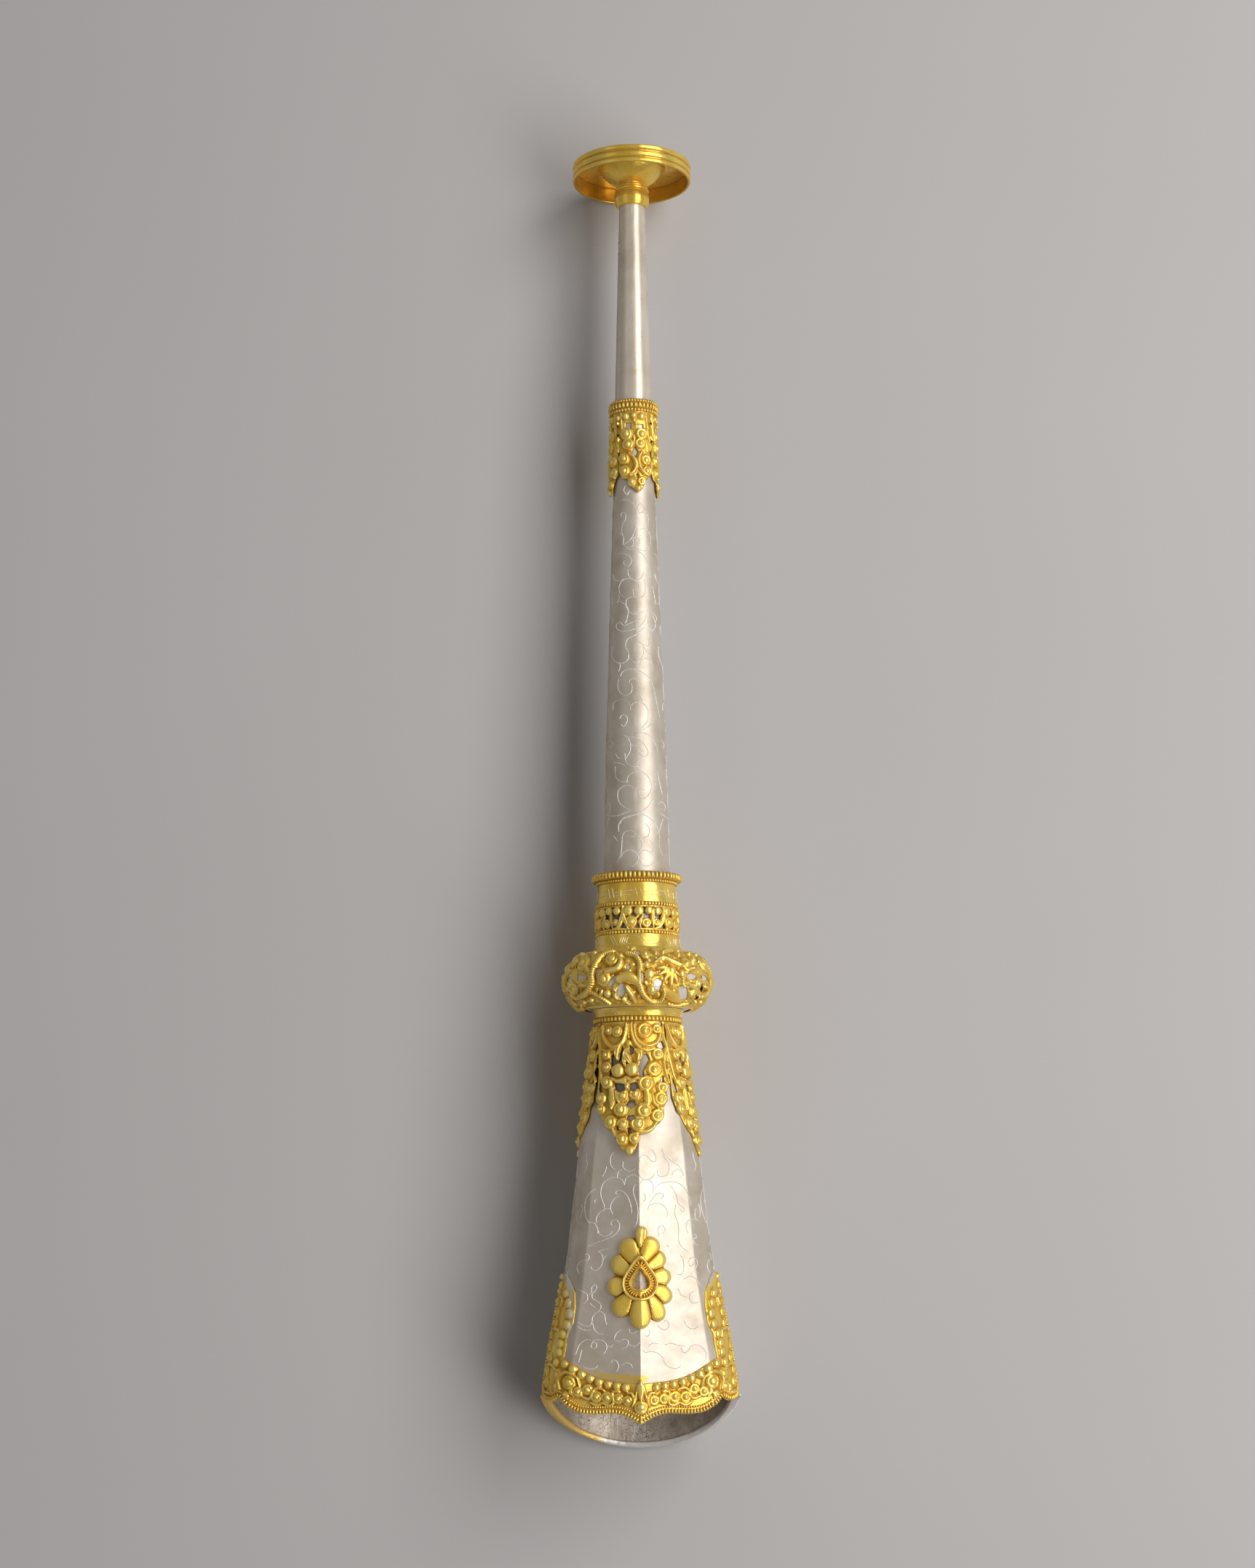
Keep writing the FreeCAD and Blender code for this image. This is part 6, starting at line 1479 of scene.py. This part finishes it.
BELL_LEFT = (
    (605, 20, 585, 60, 590, 110, 618, 142), (672, 82, 668, 115, 685, 140, 720, 148, 755, 130),
    (560, 115, 550, 150, 530, 185), (630, 190, 640, 150, 665, 140),
    (680, 245, 665, 210, 630, 192, 580, 195, 540, 225, 522, 270, 522, 320, 540, 370, 545, 405),
    (680, 240, 688, 200, 715, 178, 745, 175, 765, 190), (545, 405, 510, 430, 490, 465, 492, 495),
    (545, 400, 575, 400, 590, 385), (600, 440, 585, 400, 592, 360, 620, 325, 655, 318),
    (640, 310, 622, 300, 625, 282, 650, 278, 685, 300, 710, 340, 725, 390, 728, 435),
    (765, 235, 745, 250, 738, 285, 750, 330, 765, 380, 770, 430, 763, 490, 745, 530, 715, 565),
    (440, 495, 470, 495, 490, 515, 500, 545, 498, 570), (500, 540, 510, 570, 540, 585, 575, 578, 600, 550),
    (620, 515, 600, 520, 588, 500, 600, 478, 625, 478, 645, 505, 640, 545, 610, 580, 560, 605, 500, 625,
     430, 655),
    (440, 495, 420, 450, 412, 400, 420, 340, 450, 290, 490, 265), (490, 365, 478, 355, 485, 340, 500, 345),
    (490, 690, 520, 700, 535, 740, 520, 790, 490, 815, 462, 810, 452, 790),
    (500, 690, 540, 675, 590, 675, 630, 690), (540, 740, 560, 715, 600, 708),
    (410, 745, 430, 748, 442, 725, 430, 705, 412, 712), (410, 745, 375, 765, 362, 800, 375, 840),
    (370, 945, 400, 960, 425, 975, 430, 1010, 405, 1040),
    (430, 980, 455, 965, 460, 930, 480, 910, 493, 930, 480, 955, 462, 975, 465, 1005, 495, 1025, 520, 1050,
     515, 1080, 495, 1095),
    (445, 1035, 470, 1060, 495, 1070), (490, 1100, 520, 1095, 545, 1115, 550, 1150, 560, 1185),
    (365, 1165, 400, 1185, 440, 1190, 460, 1165, 465, 1130, 490, 1100), (360, 1190, 400, 1215, 460, 1220),
    (465, 1170, 475, 1210, 500, 1240, 540, 1245),
    (480, 1340, 455, 1335, 460, 1305, 485, 1305, 490, 1330, 475, 1345),
    (460, 1300, 475, 1285, 520, 1285, 550, 1305, 560, 1340, 540, 1380), (555, 1325, 590, 1330, 600, 1315),
    (610, 1280, 625, 1240, 660, 1215), (610, 1285, 640, 1295, 680, 1280, 705, 1300, 690, 1335, 660, 1345),
    (700, 1310, 735, 1330, 765, 1320, 780, 1300), (710, 1205, 715, 1235, 740, 1240, 775, 1215),
    (370, 1435, 385, 1380, 392, 1350), (350, 1380, 380, 1310, 430, 1280, 455, 1290),
    (590, 1440, 600, 1420, 625, 1430, 640, 1465, 625, 1500), (660, 1455, 690, 1440, 720, 1450, 735, 1475),
    (405, 1465, 440, 1480, 480, 1475, 500, 1455),
)
BELL_RIGHT = (
    (780, 90, 785, 55, 810, 40, 840, 55, 860, 80, 885, 85, 892, 60, 880, 25, 860, 0),
    (772, 140, 785, 185, 820, 208, 865, 195, 885, 160),
    (900, 145, 905, 175, 930, 187, 965, 175, 980, 135, 975, 90, 950, 60, 935, 0),
    (930, 15, 960, 50, 1000, 85, 1050, 120, 1080, 180, 1070, 160, 1030, 130),
    (1000, 180, 1010, 155, 1035, 140), (785, 235, 800, 212, 835, 208, 865, 225, 875, 265, 870, 300),
    (880, 270, 910, 240, 960, 225, 1020, 225, 1070, 250, 1105, 300, 1125, 350, 1130, 385),
    (985, 245, 1010, 275, 1030, 320, 1045, 370, 1075, 395, 1085, 415, 1070, 425, 1055, 405),
    (845, 370, 880, 320, 910, 298, 940, 305, 935, 330, 915, 335),
    (835, 410, 850, 380, 890, 368, 930, 375, 960, 400, 970, 440, 960, 460),
    (805, 300, 822, 320, 820, 340, 805, 355),
    (940, 570, 955, 550, 945, 525, 920, 520, 905, 545, 915, 590, 950, 640, 985, 660),
    (1025, 380, 1020, 440, 1040, 500, 1045, 560, 1045, 610, 1065, 660, 1110, 695),
    (1140, 580, 1160, 580, 1165, 600, 1145, 605, 1150, 635, 1175, 650),
    (1110, 570, 1095, 530, 1105, 490, 1140, 475, 1165, 490),
    (1055, 715, 1075, 745, 1080, 800, 1070, 840, 1040, 850),
    (1105, 770, 1130, 735, 1165, 745, 1170, 780, 1160, 820, 1180, 840),
    (1115, 770, 1120, 790, 1140, 785, 1150, 765), (1080, 880, 1120, 860, 1165, 880, 1195, 930),
    (1025, 945, 1045, 950, 1060, 985, 1095, 1000),
    (1150, 960, 1125, 975, 1118, 1010, 1140, 1040, 1175, 1035),
    (860, 1185, 900, 1190, 930, 1215, 965, 1215, 980, 1185, 965, 1155, 945, 1165),
    (805, 1190, 840, 1215, 850, 1245, 830, 1265, 820, 1250),
    (1080, 1150, 1100, 1195, 1140, 1215, 1175, 1200), (950, 1320, 1000, 1310, 1040, 1325, 1090, 1330),
    (1060, 1340, 1080, 1375, 1110, 1360, 1130, 1330, 1165, 1320),
    (1160, 1320, 1200, 1335, 1230, 1380, 1225, 1420),
    (800, 1350, 820, 1370, 860, 1365, 900, 1375, 940, 1410, 950, 1440), (840, 1330, 870, 1310, 910, 1315),
    (940, 1430, 980, 1470, 1030, 1480, 1060, 1460), (1160, 400, 1155, 460, 1180, 490),
    (1140, 20, 1145, 60, 1160, 110, 1150, 160), (1180, 370, 1190, 420, 1185, 470), (1095, 195, 1100, 245),
)


def clipped(paths, keep):
    """Splits paths where keep(u, v) is false."""
    out = []
    for p in paths:
        good = keep(p[:, 0], p[:, 1])
        start = None
        for k, ok in enumerate(np.append(good, False)):
            if ok and start is None:
                start = k
            elif not ok and start is not None:
                if k - start > 3:
                    out.append(p[start:k])
                start = None
    return out


def thrice(paths, half_round):
    """The paths at every third of the way round, split where they cross the back."""
    out = []
    for share in (0.0, 1 / 3, 2 / 3):
        for u, v in (path.T for path in paths):
            half = half_round(v)
            u = (u + share * 2 * half + half) % (2 * half) - half
            out += np.split(np.stack([u, v], -1), np.flatnonzero(np.abs(np.diff(u)) > 5.0) + 1)
    return out


def bell_keep(u, v):
    """Clear of the border, the collar and the medallion."""
    x = bell_base(u, v)[..., 0]
    low = np.where(np.abs(u) < side_arc(v), border_line(x), 400.0)
    rose = (x / 11.0)**2 + ((v - 368.5) / 15.5)**2 > 1
    return (v < low) & (v > 304) & (rose | (np.abs(u) > 15))


def dented_bell(u, s, h):
    return bell_surface(u, s, h + bell_dents(turn_at(u, s), s))


TUBE_DRAWING_SCALE, BELL_DRAWING_SCALE = 3.564, 4.9
tube_strokes = [path for strokes, top in ((TUBE_TOP, 540), (TUBE_LOW, 880))
                for path in laid_strokes(strokes, 760, top, TUBE_DRAWING_SCALE, on_tube)]
tube_paths = [path + (share * 2 * math.pi, 0.0) * np.stack([tube_radius(path[:, 1]), path[:, 1]], -1)
              for share in (0.0, 1 / 3, 2 / 3) for path in tube_strokes]
cuts("main_tube_engraving", tube_surface, clipped(tube_paths, lambda u, v: (v > 99.0) & (v < 240.4)), 0.36)
bell_strokes = laid_strokes(BELL_LEFT + BELL_RIGHT, 720, 1580, BELL_DRAWING_SCALE, on_bell)
bell_paths = thrice(bell_strokes, lambda s: np.interp(s, BELL_S, HALF_ROUND))
cuts("bell_engraving", dented_bell, clipped(bell_paths, bell_keep), 0.38)


def hatching(name, rows, starts, strokes, width):
    """Straight strokes (u, s, u, s) from each start, on a band or neck of the radii in rows."""
    stations, radii = np.transpose(rows)
    surface = round_surface(lambda s: np.interp(s, stations, radii), arc_radius=lambda s: GAUGE_RADIUS)
    paths = [smooth_path([(start + a, s), (start + b, t)], 0.2) for start in starts for a, s, b, t in strokes]
    cuts(name, surface, paths, width, bright_gilt, 0.10)


# The bright gilt's pale colour is a painted glint of the cut lines.
bright_gilt = metal("bright_gilt", "polished_gilt",
                    ((0.96, 0.80, 0.42), (0.98, 0.86, 0.52), (1.0, 0.92, 0.62)), (0.30, 0.44), body=0.3)
GAUGE_ROUND = 2 * math.pi * GAUGE_RADIUS
hatching("fret_band_engraving", [(244.3, 12.5), (250.6, 12.95)],
         [k * GAUGE_ROUND / 8 + rng.uniform(-0.4, 0.4) for k in range(8)],
         ((-0.5, 246.2, 0.3, 249.3), (1.0, 246.0, 1.9, 249.2), (-3.9, 247.1, -0.8, 247.0),
          (-5.0, 248.4, -1.8, 248.4), (2.4, 247.6, 4.6, 247.5), (2.0, 248.6, 3.4, 248.7),
          (-5.2, 247.0, -5.1, 249.0)), 0.34)
hatching("upper_neck_engraving", [(260.9, 13.55), (262.4, 13.55), (263.6, 13.7), (265.0, 14.1)],
         [k * GAUGE_ROUND / 9 for k in range(9)],
         ((0.0, 261.6, 1.9, 264.6), (1.0, 261.6, 2.9, 264.6),
          *((shift, 263.9, shift + 0.6, 262.0) for shift in (3.4, 4.1, 4.8, 5.5)),
          (2.6, 264.3, 7.4, 264.1)), 0.28)
hatching("lower_neck_engraving", [(284.25, 15.0), (284.8, 14.5), (285.6, 14.15), (286.85, 13.9)],
         [k * GAUGE_ROUND / 10 for k in range(10)],
         ((0.0, 284.7, 1.5, 286.6), (1.1, 284.7, 2.6, 286.6), (3.0, 285.9, 5.6, 285.8)), 0.26)

# Floor, light and camera
BACKDROP = (1.0, 0.985, 0.97)


def pale_backdrop(nodes):
    """Whether a ray shows the backdrop, and how bright: paler to the camera than in the reflections."""
    camera_ray = nodes.add("LightPath", {}, "Is Camera Ray")
    rays = camera_ray.node.outputs
    mirrored = nodes.calc("MAXIMUM", rays["Is Glossy Ray"], rays["Is Transmission Ray"])
    strength = nodes.calc("MAXIMUM", nodes.calc("MULTIPLY", camera_ray, 0.42),
                          nodes.calc("MULTIPLY", mirrored, 0.26))
    return nodes.calc("MAXIMUM", camera_ray, mirrored), strength


def pale_floor():
    """A plain pale sheet, which fades into the backdrop far from the horn."""
    material, nodes, shader = new_material("floor")
    coordinates = nodes.add("TexCoord", {}, "Object")
    tone = nodes.ramp(nodes.noise(coordinates, 6.0, 3.0),
                      [(0.3, (0.640, 0.622, 0.614)), (0.7, (0.655, 0.637, 0.630))])
    nodes.tree.links.new(tone, shader.inputs["Base Color"])
    shader.inputs["Roughness"].default_value = 0.9
    shader.inputs["Specular IOR Level"].default_value = 0.15
    away = nodes.add("VectorMath", {0: coordinates}, "Value", operation="LENGTH")
    seen, strength = pale_backdrop(nodes)
    glow = nodes.add("Emission", {"Color": BACKDROP, "Strength": strength})
    fade = nodes.add("MixShader", {0: nodes.calc("MULTIPLY", nodes.grey(away, 0.6, 1.5), seen),
                                   1: shader.outputs[0], 2: glow})
    nodes.tree.links.new(fade, nodes.tree.nodes["Material Output"].inputs[0])
    mesh = bpy.data.meshes.new("floor")
    reach = 3.0
    mesh.from_pydata([(-reach, -reach, 0), (reach, -reach, 0), (reach, reach, 0), (-reach, reach, 0)], [],
                     [(0, 1, 2, 3)])
    floor = bpy.data.objects.new("floor", mesh)
    bpy.context.scene.collection.objects.link(floor)
    floor.data.materials.append(material)


pale_floor()
world = bpy.data.worlds.new("studio")
bpy.context.scene.world = world
world.use_nodes = True
background = world.node_tree.nodes["Background"]
background.inputs["Color"].default_value = (*BACKDROP, 1.0)
sky = Nodes(world.node_tree)
sky.tree.links.new(sky.calc("MAXIMUM", pale_backdrop(sky)[1], 0.085), background.inputs["Strength"])
TARGET = (0.0, -0.03, 0.02)


def area(name, place_at, width, height, power, colour):
    light = bpy.data.lights.new(name, "AREA")
    light.shape = "RECTANGLE"
    light.size, light.size_y = width, height
    light.energy = power
    light.color = colour
    obj = bpy.data.objects.new(name, light)
    bpy.context.scene.collection.objects.link(obj)
    obj.location = place_at
    obj.rotation_euler = (Vector(TARGET) - Vector(place_at)).to_track_quat("-Z", "Y").to_euler()


area("key", (0.87, 0.03, 1.03), 2.2, 0.80, 18.9, (1.0, 0.99, 0.985))
area("fill", (-0.78, 0.0, 0.86), 1.7, 0.40, 0.6, (1.0, 0.985, 0.96))

WIDTH, HEIGHT = 1725, 2156
SENSOR = 36.0
camera_data = bpy.data.cameras.new("camera")
camera = bpy.data.objects.new("camera", camera_data)
bpy.context.scene.collection.objects.link(camera)
bpy.context.scene.camera = camera
camera_data.sensor_fit = "AUTO"
camera_data.sensor_width = SENSOR
camera_data.lens = DRAWING_FOCUS / HEIGHT * SENSOR
camera_data.clip_start, camera_data.clip_end = 0.01, 20.0
tilt = DRAWING_TILT - CLIMB
camera.location = Vector(place((-2.8, HEIGHT_ABOVE, STATION_BELOW)).tolist())
look = Vector((0.0, math.sin(tilt), -math.cos(tilt)))
camera.rotation_euler = look.to_track_quat("-Z", "Y").to_euler()
camera.rotation_euler.rotate_axis("Z", math.radians(-0.39))
scene = bpy.context.scene
scene.render.resolution_x, scene.render.resolution_y = WIDTH, HEIGHT
scene.view_settings.view_transform = "Standard"
